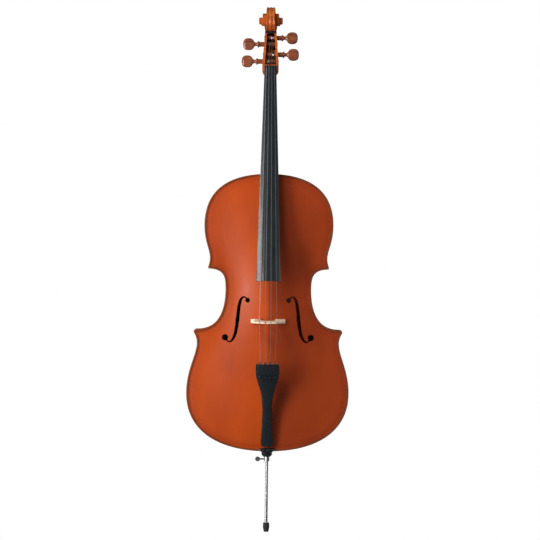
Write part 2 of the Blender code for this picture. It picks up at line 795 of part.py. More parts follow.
def fingerboard():
    """A long black board, rounded on top and hollowed underneath past the neck."""
    rings = []
    end = NECK_LENGTH - FINGERBOARD_LENGTH
    for along, hollow in ((end, 9), (-200, 9), (-120, 9), (-60, 8), (-15, 0), (72, 0), (180, 0),
                          (NECK_LENGTH, 0)):
        half = board_half(along)
        ring = []
        for step in range(9):
            x = half * math.cos(math.pi * step / 8)
            swell = math.sqrt(BOARD_RADIUS**2 - x * x) - math.sqrt(BOARD_RADIUS**2 - half**2)
            ring.append(on_neck(along, CLEAR + BOARD_SIDE + swell, x))
        inner = half - 4
        for x, share in ((-half, 0), (-inner, 0), (-inner / 2, 0.75), (0, 1), (inner / 2, 0.75),
                         (inner, 0), (half, 0)):
            ring.append(on_neck(along, CLEAR + hollow * share, x))
        rings.append(ring)
    return add_object("fingerboard", loft(rings), black_wood)


def board_top(along, x):
    half = board_half(along)
    return CLEAR + BOARD_SIDE + math.sqrt(BOARD_RADIUS**2 - x * x) - math.sqrt(BOARD_RADIUS**2 - half**2)


def nut():
    rings = []
    for along, lower in ((NECK_LENGTH + CLEAR, 0), (NECK_LENGTH + 2, 0),
                         (NECK_LENGTH + CLEAR + NUT_DEPTH, 2.5)):
        half = BOARD_HALF[0]
        ring = []
        for step in range(7):
            x = half * math.cos(math.pi * step / 6)
            ring.append(on_neck(along, board_top(NECK_LENGTH, x) + NUT_RISE - lower, x))
        ring.append(on_neck(along, CLEAR + 0.5, -half))
        ring.append(on_neck(along, CLEAR + 0.5, half))
        rings.append(ring)
    return add_object("nut", loft(rings), black_wood)


# ---------------------------------------------------------------- bridge, tailpiece and strings


def crown_drop(x):
    """How far the bridge's crown and the strings fall away from the centre."""
    radius = BOARD_RADIUS + 3
    return radius - math.sqrt(radius**2 - x * x)


def bridge(read):
    """Two feet on the top plate, long legs, side wings and a curved crown, thinner towards the top."""
    low = -STOP_TOP
    outline = [(20, 5), (27, 10), (26.5, 22), (21, 31), (11, 36.5), (0, 38)]
    outer = [(46, 5), (36, 9.5), (36, 20), (40, 32), (42, 39), (36, 43.5), (29, 42), (27, 46.5), (33, 51),
             (42, 50), (40.5, 58), (33, 71), (28.5, 81)]
    crown = [(x, BRIDGE_HEIGHT - crown_drop(x)) for x in (25, 19, 12.5, 6, 0)]
    foot = [(46, None), (37.5, None), (29, None), (20, None)]
    half = [*outline[::-1], *foot[::-1], *outer, *crown]
    ring = half[:-1] + [(-x, h) for x, h in half[::-1]][:-1]
    seen, cleaned = set(), []
    for point in ring:
        if point not in seen:
            seen.add(point)
            cleaned.append(point)
    sides = []
    for facing in (-1, 1):
        side = []
        for x, height in cleaned:
            z = BODY_FOOT + BRIDGE_STOP
            up = max(0.0, height or 0.0) / BRIDGE_HEIGHT
            thick = BRIDGE_THICK[0] + (BRIDGE_THICK[1] - BRIDGE_THICK[0]) * up**0.8
            place = z - BRIDGE_THICK[0] / 2 if facing < 0 else z - BRIDGE_THICK[0] / 2 + thick
            if height is None:
                y = min(read(x, BRIDGE_STOP + d, -200, 1) for d in (-BRIDGE_THICK[0] / 2, 0,
                                                                    BRIDGE_THICK[0] / 2))
                side.append((x, y - CLEAR, place))
            else:
                side.append((x, low - height, place))
        sides.append(side)
    obj = add_object("bridge", loft(sides), bare_maple)
    heart = [(7 * math.sin(math.radians(a)) * (1 + 0.25 * math.cos(math.radians(a))),
              58 + 8 * math.cos(math.radians(a))) for a in range(0, 360, 30)]
    rings = [[(x, low - h, BODY_FOOT + BRIDGE_STOP + z) for x, h in heart] for z in (-12, 12)]
    drilled(obj, [add_object("cut_heart", loft(rings), None, helper=True)])
    return obj


def on_tail(along, deep, x=0.0):
    """A point from its place along the tailpiece's front face, from the lower end, and its depth behind."""
    low = Vector((0, TAIL_LOW[0], BODY_FOOT + TAIL_LOW[1]))
    high = Vector((0, TAIL_HIGH[0], BODY_FOOT + TAIL_HIGH[1]))
    up = (high - low).normalized()
    back = Vector((0, up.z, -up.y))
    return low + up * along + back * deep + Vector((x, 0, 0))


def tail_length():
    return math.dist(TAIL_LOW, TAIL_HIGH)


def tailpiece():
    """Waisted, rounded in front, and hollow behind its wide end for the tuners and its foot for the cord."""
    length = tail_length()
    widths = [(0, 15.5), (0.06, 17), (0.24, 14.5), (0.46, 13), (0.6, 15.5), (0.69, 19.8), (0.77, 25.8),
              (0.84, 30.4), (0.9, TAIL_HALF), (0.97, TAIL_HALF), (1, TAIL_HALF - 1.5)]
    rings = []
    for share in (0, 0.06, 0.14, 0.24, 0.35, 0.46, 0.54, 0.6, 0.65, 0.69, 0.73, 0.77, 0.81, 0.84,
                  0.9, 0.97, 1.0):
        half = between(widths, share)
        thick = 9 + 4 * share
        ring = []
        for step in range(9):
            angle = math.pi * step / 8
            ring.append(on_tail(length * share, thick * 0.45 * (1 - math.sin(angle)),
                                half * math.cos(angle)))
        ring.append(on_tail(length * share, thick, -half + 1))
        ring.append(on_tail(length * share, thick, half - 1))
        rings.append(ring)
    obj = add_object("tailpiece", loft(rings), black_resin)
    hollow = []
    for along, half in ((length - 44, 21), (length - 34, 25), (length + 4, TAIL_HALF - 3.5)):
        hollow.append([on_tail(along, TAIL_WALL + 3, half), on_tail(along, TAIL_WALL + 1.2, half * 0.4),
                       on_tail(along, TAIL_WALL + 1.2, -half * 0.4), on_tail(along, TAIL_WALL + 3, -half),
                       on_tail(along, 20, -half), on_tail(along, 20, half)])
    foot = [[on_tail(along, deep, x) for x, deep in ((10, 4.5), (-10, 4.5), (-10, 20), (10, 20))]
            for along in (3.5, 22)]
    tools = [add_object("cut_tuner_bay", loft(hollow), None, helper=True),
             add_object("cut_cord_bay", loft(foot), None, helper=True)]
    for x in tail_places():
        place = length - AXLE_PLACE[0] - LEVER_ARM
        hole = rod_between(on_tail(place, -8, x), on_tail(place, 10, x), 2.0 + CLEAR, 10)
        tools.append(add_object("cut_tuner", hole, None, helper=True))
    for x in (-7, 7):
        hole = rod_between(on_tail(-4, 6.8, x), on_tail(8, 6.8, x), CORD_RADIUS + CLEAR, 10)
        tools.append(add_object("cut_cord", hole, None, helper=True))
    place, deep = length - AXLE_PLACE[0], AXLE_PLACE[1]
    axle = rod_between(on_tail(place, deep, -40), on_tail(place, deep, 40), 1.2 + CLEAR, 10)
    tools.append(add_object("cut_axle", axle, None, helper=True))
    drilled(obj, tools)
    return obj


def rod_between(start, end, radius, sides=12, end_radius=None):
    """A plain round bar between two points, or a cone if the ends differ."""
    start, end = Vector(start), Vector(end)
    along = (end - start).normalized()
    across = along.orthogonal().normalized()
    other = along.cross(across)
    rings = []
    for point, size in ((start, radius), (end, radius if end_radius is None else end_radius)):
        rings.append([point + across * size * math.cos(2 * math.pi * k / sides)
                      + other * size * math.sin(2 * math.pi * k / sides) for k in range(sides)])
    return loft(rings)


def tail_places():
    return [TAIL_SPREAD * (i / 3 - 0.5) for i in range(4)]


def tuners():
    """Four levers on one axle, each pushed by its own screw through the tailpiece's face."""
    length = tail_length()
    pivot_along, pivot_deep = length - AXLE_PLACE[0], AXLE_PLACE[1]
    add_object("tuner_axle", rod_between(on_tail(pivot_along, pivot_deep, -TAIL_HALF + 1.2),
                                         on_tail(pivot_along, pivot_deep, TAIL_HALF - 1.2), 1.2, 10),
                                         steel)
    profile = [(-23.5, 9.0), (-23.5, 11.6), (-4, 13.2), (3, 13.6), (8, 12.5), (18, 9.5), (20, -3.2),
               (16.5, -3.8),
               (15.2, 7.2), (4, 7.8), (-6, 8.2)]
    for name, x in zip(STRING_NAMES, tail_places()):
        centre = on_tail(pivot_along, pivot_deep, x)
        rings = [[on_tail(pivot_along + a, d, x + w) for a, d in profile] for w in (-3.5, 3.5)]
        lever = add_object(f"tuner_lever_{name}", loft(rings), steel, origin=centre)
        slot_half = STRING_RADIUS[STRING_NAMES.index(name)] + 0.6
        slot = [[on_tail(pivot_along + a, d, x + w) for a,
                 d in ((10, -6), (26, -6), (26, 1.8), (10, 1.8))]
                for w in (-slot_half, slot_half)]
        bore = rod_between(centre - Vector((6, 0, 0)), centre + Vector((6, 0, 0)), 1.65, 12)
        drilled(lever, [add_object(f"cut_slot_{name}", loft(slot), None, helper=True),
                        add_object(f"cut_bore_{name}", bore, None, helper=True)])
        push = 8.8
        screw_place = pivot_along - LEVER_ARM
        screw_rings = []
        centre = on_tail(screw_place, 0, x)
        for deep, radius in ((-12, 3.6), (-11, 4.4), (-4.5, 4.4), (-3.8, 3.8), (-3.8, 1.9),
                             (push - 2, 1.9),
                             (push - CLEAR, 0.9)):
            screw_rings.append([on_tail(screw_place + radius * math.cos(2 * math.pi * k / 12), deep,
                                        x + radius * math.sin(2 * math.pi * k / 12)) for k in range(12)])
        add_object(f"tuner_screw_{name}", loft(screw_rings), black_resin, origin=centre)


def string_points(name):
    """Where a string runs: tuner, bridge crown, nut, and the winding on its peg."""
    index = STRING_NAMES.index(name)
    share = index / 3 - 0.5
    radius = STRING_RADIUS[index]
    lift = CLEAR + radius
    x_tail, x_bridge, x_nut = TAIL_SPREAD * share, BRIDGE_SPREAD * share, NUT_SPREAD * share
    crown_z = BODY_FOOT + BRIDGE_STOP - BRIDGE_THICK[0] / 2
    crown_y = -(STOP_TOP + BRIDGE_HEIGHT) + crown_drop(x_bridge) - lift
    tail = on_tail(tail_length() + 0.5, -0.8, x_tail)
    nut_out = board_top(NECK_LENGTH, x_nut) + NUT_RISE + lift
    nut_near = on_neck(NECK_LENGTH, nut_out, x_nut)
    nut_far = on_neck(NECK_LENGTH + 2.5, nut_out, x_nut)
    nut_end = on_neck(NECK_LENGTH + CLEAR + NUT_DEPTH + 0.6, nut_out - 2.0, x_nut)
    _, along, out = PEG_PLACES[name]
    reach = winding_outer(name) + lift
    start, centre = nut_end, on_neck(along, out, WINDING_X[name])
    flat = Vector((0, start.y - centre.y, start.z - centre.z))
    turn = math.acos(reach / flat.length)
    towards = math.atan2(flat.y, flat.z) + turn
    peg_front = centre + Vector((0, math.sin(towards), math.cos(towards))) * reach
    other = math.atan2(flat.y, flat.z) - turn
    peg_other = centre + Vector((0, math.sin(other), math.cos(other))) * reach
    finish = peg_front if peg_front.y < peg_other.y else peg_other
    return [tail, Vector((x_bridge, crown_y, crown_z - 0.4)), Vector((x_bridge, crown_y, crown_z + 3.0)),
            nut_near, nut_far, nut_end, finish]


def winding_outer(name):
    side = PEG_PLACES[name][0]
    index = STRING_NAMES.index(name)
    return peg_radius(side * WINDING_X[name]) + CLEAR + 2 * STRING_RADIUS[index]


def strings():
    for name in STRING_NAMES:
        index = STRING_NAMES.index(name)
        tube(f"string_{name}", string_points(name), STRING_RADIUS[index], steel, 1)


def pegs():
    """Tapered pegs with a collar and a flat rounded head, and the string wound on each."""
    for name, (side, along, out) in PEG_PLACES.items():
        centre = on_neck(along, out)
        wall = pegbox_half(along)
        collar = wall + 14
        head = wall + PEG_NECK
        stations = [(-wall - 1, peg_radius(-wall) - 0.8, None), (-wall, peg_radius(-wall), None),
                    (collar, peg_radius(collar), None), (collar + 0.6, 9.0, None),
                    (collar + 3.4, 9.0, None),
                    (collar + 4.4, 5.6, None), (head - 3, 4.6, None), (head, 5.4, 7.5)]
        for step in range(1, 8):
            share = step / 7.4
            reach = PEG_HEAD * max(0.0, 1 - abs(2 * share - 1) ** 2.6) ** 0.38
            stations.append((head + 1.86 * PEG_HEAD * share, 6.3 * (1 - 0.35 * share**3),
                             max(reach, 3.0)))
        rings = []
        for outward, deep, tall in stations:
            high = tall if tall is not None else deep
            ring = []
            for k in range(12):
                angle = 2 * math.pi * (k + 0.5) / 12
                ring.append(centre + Vector((side * outward, deep * math.cos(angle),
                                             high * math.sin(angle))))
            rings.append(ring)
        add_object(f"peg_{name}", loft(rings), peg_wood, origin=centre)
        place = WINDING_X[name]
        index = STRING_NAMES.index(name)
        low, high = place - WINDING_LENGTH / 2, place + WINDING_LENGTH / 2
        inner = max(peg_radius(side * low), peg_radius(side * high)) + CLEAR * 0.8
        outer = winding_outer(name)
        profile = [(inner, low), (outer, low), (outer, high), (inner, high)]
        add_object(f"winding_{name}", turned(profile, "X", centre, 12), steel, origin=centre)


def saddle():
    """A black strip let into the top plate's lower edge, which carries the tail cord."""
    low, high = -(FRONT_FACE + CLEAR), -(FRONT_FACE + EDGE + SADDLE_RISE)
    rings = []
    for share in (-1.0, -0.8, -0.4, 0.4, 0.8, 1.0):
        rise = 1.0 if abs(share) < 0.9 else 0.62
        top = low + (high - low) * rise
        x, foot = SADDLE_HALF * share, BODY_FOOT + 0.3
        rings.append([(x, low, foot), (x, top + 2, foot), (x, top, foot + 2.5), (x, top + 0.8, foot + 6),
                      (x, top + 4, foot + SADDLE_DEPTH - CLEAR), (x, low, foot + SADDLE_DEPTH - CLEAR)])
    obj = add_object("saddle", loft(rings), black_wood)
    cut = [(-SADDLE_HALF - CLEAR, BODY_FOOT - 5), (SADDLE_HALF + CLEAR, BODY_FOOT - 5),
           (SADDLE_HALF + CLEAR, BODY_FOOT + SADDLE_DEPTH + CLEAR),
           (-SADDLE_HALF - CLEAR, BODY_FOOT + SADDLE_DEPTH + CLEAR)]
    tool = add_object("cut_saddle", prism(cut, -FRONT_FACE - 20, -FRONT_FACE + CLEAR / 2), None,
                      helper=True)
    return obj, tool


def tail_cord():
    """The cord from the tailpiece's foot, over the saddle and round the endpin plug, and back."""
    loop = 12 + CLEAR + CORD_RADIUS
    over = -(FRONT_FACE + EDGE + SADDLE_RISE) - CORD_RADIUS - CLEAR
    inside, outside = on_tail(9, 6.8, 7), on_tail(-1, 6.8, 7)
    half = [inside, outside, Vector((7.6, over - 0.2, BODY_FOOT + 4.0)),
            Vector((8.0, over + 0.4, BODY_FOOT + 0.2)),
            Vector((8.4, over + 3.4, BODY_FOOT - 2.2)), Vector((9.6, -54, BODY_FOOT - 3.6)),
            Vector((12.0, -30, BODY_FOOT - 4.8)), Vector((loop, -8, BODY_FOOT - 5))]
    for degrees in (0, 30, 60, 90):
        angle = math.radians(degrees)
        half.append(Vector((loop * math.cos(angle), loop * math.sin(angle), BODY_FOOT - 5)))
    other = [Vector((-p.x, p.y, p.z)) for p in half[-2::-1]]
    return tube("tail_cord", spline_through([*half, *other], 2), CORD_RADIUS, black_resin, 1)


# ---------------------------------------------------------------- endpin


def endpin(bottom_rib, end_block):
    foot = BODY_FOOT
    bore = LINER[0] + CLEAR
    plug = [(bore, foot + PLUG_FOOT), (9.5, foot + PLUG_FOOT), (14, foot - 14), (PLUG_RADIUS, foot - 8.5),
            (12, foot - 7.5), (12, foot - 2.5), (PLUG_RADIUS, foot - 1.2),
            (PLUG_RADIUS, foot + OVERHANG - CLEAR),
            (PLUG_SHANK[0], foot + OVERHANG - CLEAR), (PLUG_SHANK[1], foot + PLUG_TOP),
            (bore, foot + PLUG_TOP)]
    add_object("endpin_plug", turned(plug, sides=20), black_wood)
    hole = rod_between((0, 0, foot - 2), (0, 0, foot + PLUG_TOP), PLUG_SHANK[0] + CLEAR + 0.1, 20,
                       PLUG_SHANK[1] + CLEAR + 0.1)
    tool = add_object("cut_plug", hole, None, helper=True)
    drilled(bottom_rib, [tool])
    drilled(end_block, [tool])

    rod_bore = ROD_RADIUS + CLEAR
    liner = [(rod_bore, foot + LINER_FOOT), (LINER[1], foot + LINER_FOOT),
             (LINER[1], foot + PLUG_FOOT - CLEAR),
             (LINER[0], foot + PLUG_FOOT - CLEAR), (LINER[0], foot + PLUG_TOP - 12),
             (rod_bore, foot + PLUG_TOP - 12)]
    sleeve = add_object("endpin_liner", turned(liner), steel)
    drilled(sleeve, [add_object("cut_clamp", rod_between((-12, 0, foot + SCREW_HEIGHT),
                                                         (0, 0, foot + SCREW_HEIGHT),
                                                         2.0 + CLEAR, 12), None, helper=True)])
    centre = Vector((0, 0, foot + SCREW_HEIGHT))
    rings = []
    for x, deep, tall in ((-4.4, 1.4, 1.4), (-5.2, 2.0, 2.0), (-17.5, 2.0, 2.0), (-19.0, 1.7, 3.2),
                          (-21.5, 1.6, 5.6),
                          (-25.5, 1.6, 6.6), (-29.5, 1.6, 5.4), (-32.0, 1.3, 2.2)):
        rings.append([centre + Vector((x, deep * math.cos(2 * math.pi * k / 12),
                                       tall * math.sin(2 * math.pi * k / 12)))
                      for k in range(12)])
    add_object("endpin_screw", loft(rings), steel, origin=centre)

    rod = [(0, 10), (0.9, 10), (ROD_RADIUS, 19), (ROD_RADIUS, foot + ROD_TOP - 1),
           (ROD_RADIUS - 1, foot + ROD_TOP),
           (0, foot + ROD_TOP)]
    add_object("endpin_rod", turned(rod), steel, origin=(0, 0, foot))
    tip = [(0, 0), (FOOT_RADIUS, 0), (FOOT_RADIUS + 0.8, 1.2), (TIP_RADIUS, 13),
           (TIP_RADIUS - 0.3, TIP_TOP - 2),
           (TIP_RADIUS - 1.5, TIP_TOP), (rod_bore, TIP_TOP), (rod_bore, 19 - CLEAR), (1.3, 9.4), (0, 9.4)]
    add_object("endpin_tip", turned(tip), rubber, origin=(0, 0, 10))


# ---------------------------------------------------------------- assembly


def build():
    for obj in list(bpy.data.objects):
        bpy.data.objects.remove(obj)
    edges = body_edges()
    top = plate("top_plate", -1, TOP_RISE, varnished_spruce, edges)
    back = plate("back_plate", 1, BACK_RISE, varnished_maple, edges, button=True)
    read_top, read_back = surface_reader(top), surface_reader(back)
    bottom_rib, upper_ribs = ribs(edges)
    end_block, top_block = blocks_and_linings(edges)
    bass_bar(read_top)
    sound_post(read_top, read_back)
    bridge(read_top)
    _, saddle_notch = saddle()
    mortise = mortise_tool()
    drilled(top, [*sound_hole_tools(), saddle_notch, mortise])
    for rib in (*upper_ribs, top_block):
        drilled(rib, [mortise])
    neck()
    fingerboard()
    nut()
    tailpiece()
    tuners()
    tail_cord()
    strings()
    pegs()
    endpin(bottom_rib, end_block)


build()
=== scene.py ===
# %% [markdown]
# # A cello's looks, built around its frame
# The frame holds a cello as separate rigid pieces: plates, ribs, neck, pegs, tailpiece and endpin.
# This notebook keeps every one of them where it is. It gives some a finer surface, written as a formula,
# and paints all of them with procedural materials. X runs across the body, -Y is the front and +Z is up.

# %% Load the frame
import json
import math

import bmesh
import bpy
import numpy as np
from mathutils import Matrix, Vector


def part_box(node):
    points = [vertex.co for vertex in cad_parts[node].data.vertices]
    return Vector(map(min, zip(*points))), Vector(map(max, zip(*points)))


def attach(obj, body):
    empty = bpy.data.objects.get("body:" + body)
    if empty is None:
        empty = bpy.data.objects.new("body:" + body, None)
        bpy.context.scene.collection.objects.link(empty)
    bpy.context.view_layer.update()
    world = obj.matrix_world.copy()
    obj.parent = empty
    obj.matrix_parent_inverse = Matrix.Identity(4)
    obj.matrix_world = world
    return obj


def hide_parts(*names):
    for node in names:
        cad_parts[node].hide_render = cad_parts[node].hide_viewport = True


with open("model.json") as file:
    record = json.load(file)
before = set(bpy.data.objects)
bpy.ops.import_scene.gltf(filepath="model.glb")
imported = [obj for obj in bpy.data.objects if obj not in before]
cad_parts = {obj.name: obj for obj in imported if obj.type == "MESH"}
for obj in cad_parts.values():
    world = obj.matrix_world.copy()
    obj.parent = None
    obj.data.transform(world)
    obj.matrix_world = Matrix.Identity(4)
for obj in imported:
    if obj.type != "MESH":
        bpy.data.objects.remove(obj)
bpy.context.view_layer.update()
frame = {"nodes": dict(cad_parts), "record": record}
nodes = frame["nodes"]
MM = 0.001

# %% [markdown]
# ## Measures
# The fine pieces follow the same shapes as the frame's, so they share its driving sizes, in millimetres.
# Heights on the body start at its lower edge, which is where the back plate's box begins.

# %% Shared sizes
BODY_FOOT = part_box("back_plate")[0].z / MM
BODY_LENGTH = 755.0
BODY_END = BODY_FOOT + BODY_LENGTH
HALF_LOWER, HALF_UPPER, HALF_WAIST = 221.0, 175.5, 116.5
LEVELS = tuple(share * BODY_LENGTH for share in (0.209, 0.815, 0.583))  # widest below, widest above, waist
BUTTON_HALF, BUTTON_RISE = 17, 2
FACE = 58.0
EDGE = 4.5
TOP_RISE, BACK_RISE = 20.5, 22.5
CHANNEL = 12.0
STOP_TOP = FACE + EDGE + TOP_RISE
NECK_SLOPE = math.radians(9.4)
NECK_LENGTH = 291.0
OVERSTAND = 22  # the neck's front face above the top plate's edge
HEEL_HALF = 16.5
BOARD_LENGTH, BOARD_NUT_HALF, BOARD_FLARE = 588.0, 16.2, 16.8
BRIDGE_STOP, BRIDGE_HEIGHT, CROWN_RADIUS = 355, 90, 65
CLEAR = 0.3
EYE = (15.8, 1178.0)
EYE_RADIUS = 9.5
VOLUTE_START, VOLUTE_TURN, VOLUTE_PHASE = 45.0, 840.0, -120.0
print("body foot", round(BODY_FOOT, 2), "mm above the floor")

# %% [markdown]
# ## Mesh tools
# A parametric surface is a grid of points. `grid_faces` lists the quads of a grid, `weld` merges points
# that lie together, such as a seam or a pole, and `solid` makes the object and turns its faces outwards.

# %% Grids, welding and objects
def grid_faces(rows, columns, start=0, wrap=False):
    """The corners of each cell of a rows by columns grid. With wrap, the last column joins the first."""
    i, j = np.meshgrid(np.arange(rows - 1), np.arange(columns if wrap else columns - 1), indexing="ij")
    k = (j + 1) % columns
    quads = np.stack([i * columns + j, i * columns + k, (i + 1) * columns + k, (i + 1) * columns + j], -1)
    return quads.reshape(-1, 4) + start


def weld(points, faces, step=0.002):
    """Merges points closer than a step, in millimetres, and drops the faces that this empties."""
    keys = np.round(np.asarray(points) / step).astype(np.int64)
    _, first, where = np.unique(keys, axis=0, return_index=True, return_inverse=True)
    where = where.reshape(-1)
    kept = []
    for face in faces:
        ring = list(dict.fromkeys(where[np.asarray(face)].tolist()))
        if len(ring) > 2:
            kept.append(ring)
    return np.asarray(points)[first], kept


def solid(name, points, faces, body="body", replaces=()):
    """A closed object of points in millimetres, riding on a body and standing for the named nodes."""
    points, faces = weld(points, faces)
    mesh = bpy.data.meshes.new(name)
    mesh.from_pydata((points * MM).tolist(), [], faces)
    turned = bmesh.new()
    turned.from_mesh(mesh)
    bmesh.ops.recalc_face_normals(turned, faces=turned.faces)
    turned.to_mesh(mesh)
    turned.free()
    return adopt(name, mesh, body, replaces)


def adopt(name, mesh, body, replaces):
    mesh.shade_smooth()
    mesh.set_sharp_from_angle(angle=math.radians(38))
    made = bpy.data.objects.new(name, mesh)
    bpy.context.scene.collection.objects.link(made)
    if body:
        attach(made, body)
    if replaces:
        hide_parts(*replaces)
    return made


def loft(rings):
    """Points and faces of a stack of closed rings, with a flat face on each end."""
    rings = np.asarray(rings)
    rows, columns = rings.shape[:2]
    ring = np.arange(columns)
    faces = [*grid_faces(rows, columns, wrap=True), ring[::-1], ring + (rows - 1) * columns]
    return rings.reshape(-1, 3), faces


def carve(target, tools):
    """Cuts the tools from the target and throws them away."""
    for tool in tools:
        cut = target.modifiers.new(tool.name, "BOOLEAN")
        cut.operation, cut.solver, cut.object = "DIFFERENCE", "EXACT", tool
    graph = bpy.context.evaluated_depsgraph_get()
    mesh = bpy.data.meshes.new_from_object(target.evaluated_get(graph))
    target.modifiers.clear()
    target.data = mesh
    for tool in tools:
        bpy.data.objects.remove(tool)
    mesh.shade_smooth()
    mesh.set_sharp_from_angle(angle=math.radians(38))


# %% [markdown]
# ## Curves
# A cubic Bezier weights four points by powers of t and 1 - t. A Catmull-Rom line passes through all its
# points, and its slope at each one is half the step between its two neighbours.

# %% Bezier and Catmull-Rom
def bezier(start, first, second, end, count):
    t = np.linspace(0, 1, count)[:, None]
    u = 1 - t
    return u**3 * start + 3 * u * u * t * first + 3 * u * t * t * second + t**3 * end


def through(points, steps):
    """A smooth line through rows of numbers, with steps samples for each pair."""
    p = np.asarray(points, float)
    p = np.vstack([2 * p[0] - p[1], p, 2 * p[-1] - p[-2]])
    a, b, c, d = (p[k:len(p) - 3 + k, None] for k in range(4))
    t = (np.arange(steps) / steps)[None, :, None]
    line = 0.5 * (2 * b + (c - a) * t + (2 * a - 5 * b + 4 * c - d) * t**2 + (3 * b - a - 3 * c + d) * t**3)
    return np.vstack([line.reshape(-1, p.shape[1]), p[-2]])


def ease(t):
    t = np.clip(t, 0, 1)
    return t * t * (3 - 2 * t)


# %% [markdown]
# ## The outline of the body
# Six Bezier curves make the treble half: bottom, lower flank, two for the waist, shoulder and crown.
# They meet at blunt corners. The bass half is its mirror image.

# %% Outline
def treble_outline(count):
    low, high, waist = HALF_LOWER, HALF_UPPER, HALF_WAIST
    wide, top, narrow = LEVELS
    corner, foot = (low - 19.6, 0.4255 * BODY_LENGTH), (low - 20.0, 0.4365 * BODY_LENGTH)
    head, tip = (high - 12.0, 0.657 * BODY_LENGTH), (high - 12.5, 0.6695 * BODY_LENGTH)
    pieces = [
        ((0, 0), (144, 0), (low, wide - 96), (low, wide)),
        ((low, wide), (low, wide + 83), (low - 46, corner[1] - 40), corner),
        (foot, (waist + 11.5, foot[1] - 2), (waist, narrow - 45), (waist, narrow)),
        ((waist, narrow), (waist, narrow + 33), (waist + 3.5, head[1] - 1), head),
        (tip, (high - 24.5, tip[1] + 35), (high, top - 59), (high, top)),
        ((high, top), (high, top + 81), (high - 48, BODY_LENGTH), (0, BODY_LENGTH)),
    ]
    lines = [bezier(*(np.array(p, float) for p in piece), count) for piece in pieces]
    for near in (0, 2, 4):
        lines[near] = lines[near][:-1]
    rounded = []
    for k, line in enumerate(lines):
        rounded.append(line)
        if k in (1, 3):
            after = lines[k + 1][0]
            out = np.array([1.1, 0.0])
            rounded.append(through([line[-1], (line[-1] + after) / 2 + out, after], 4)[1:-1])
    return np.vstack(rounded)


OUTLINE = treble_outline(44)
print("outline:", len(OUTLINE), "points on the treble half")

# %% [markdown]
# ## Arching
# A plate swells by a full long arch times a rounded cross arch. The cross arch reaches the flat border at
# half the body's width, eased through the waist so that the corners stay low.

# %% Arching and edge profile
def half_width(z):
    """Half the body's width at a height, passing inside the corners."""
    wide, top, narrow = LEVELS
    lower = OUTLINE[(OUTLINE[:, 1] <= wide + 0.01)]
    upper = OUTLINE[(OUTLINE[:, 1] >= top - 0.01)]
    ends = np.where(z < wide, np.interp(z, lower[:, 1], lower[:, 0]), np.interp(z, upper[:, 1], upper[:, 0]))
    rising = HALF_LOWER + (HALF_WAIST - HALF_LOWER) * ease((z - wide) / (narrow - wide))
    opening = HALF_WAIST + (HALF_UPPER - HALF_WAIST) * ease((z - narrow) / (top - narrow))
    return np.where((z < wide) | (z > top), ends, np.where(z < narrow, rising, opening))


def arch(x, z, rise):
    """rise * sin(quarter turn * (1 - |2 t - 1| to 2.3)) * (half a raised cosine across) to 0.85."""
    along = np.clip((z - CHANNEL) / (BODY_LENGTH - 2 * CHANNEL), 0, 1)
    reach = np.maximum(half_width(z) - CHANNEL, 1.0)
    q = np.clip(np.abs(x) / reach, 0, 1)
    long_arch = np.sin(np.pi / 2 * (1 - np.abs(2 * along - 1) ** 2.3))
    return rise * long_arch * (0.5 + 0.5 * np.cos(np.pi * q)) ** 0.85


def from_edge(x, z):
    """Distance to the nearest point of the outline, measured in strips so that it stays small in memory."""
    found = np.empty(len(x))
    for start in range(0, len(x), 4000):
        part = slice(start, start + 4000)
        gap = (np.abs(x[part])[:, None] - OUTLINE[:, 0]) ** 2 + (z[part][:, None] - OUTLINE[:, 1]) ** 2
        found[part] = np.sqrt(gap.min(axis=1))
    return found


def edge_profile(d):
    """Height added by a rounded bead at the very edge and a shallow channel inside it."""
    bead = np.where(d < 2.2, -1.9 * (1 - np.sqrt(np.clip(1 - (1 - d / 2.2) ** 2, 0, 1))), 0)
    return bead - 0.9 * np.exp(-(((d - 9.0) / 4.5) ** 2))


# %% [markdown]
# ## Plates
# Each row of the grid runs from a point of the outline to a point on the centre line, first outside and
# then back inside, so one half of a plate is a single sheet folded over its edge. A mirror closes it.

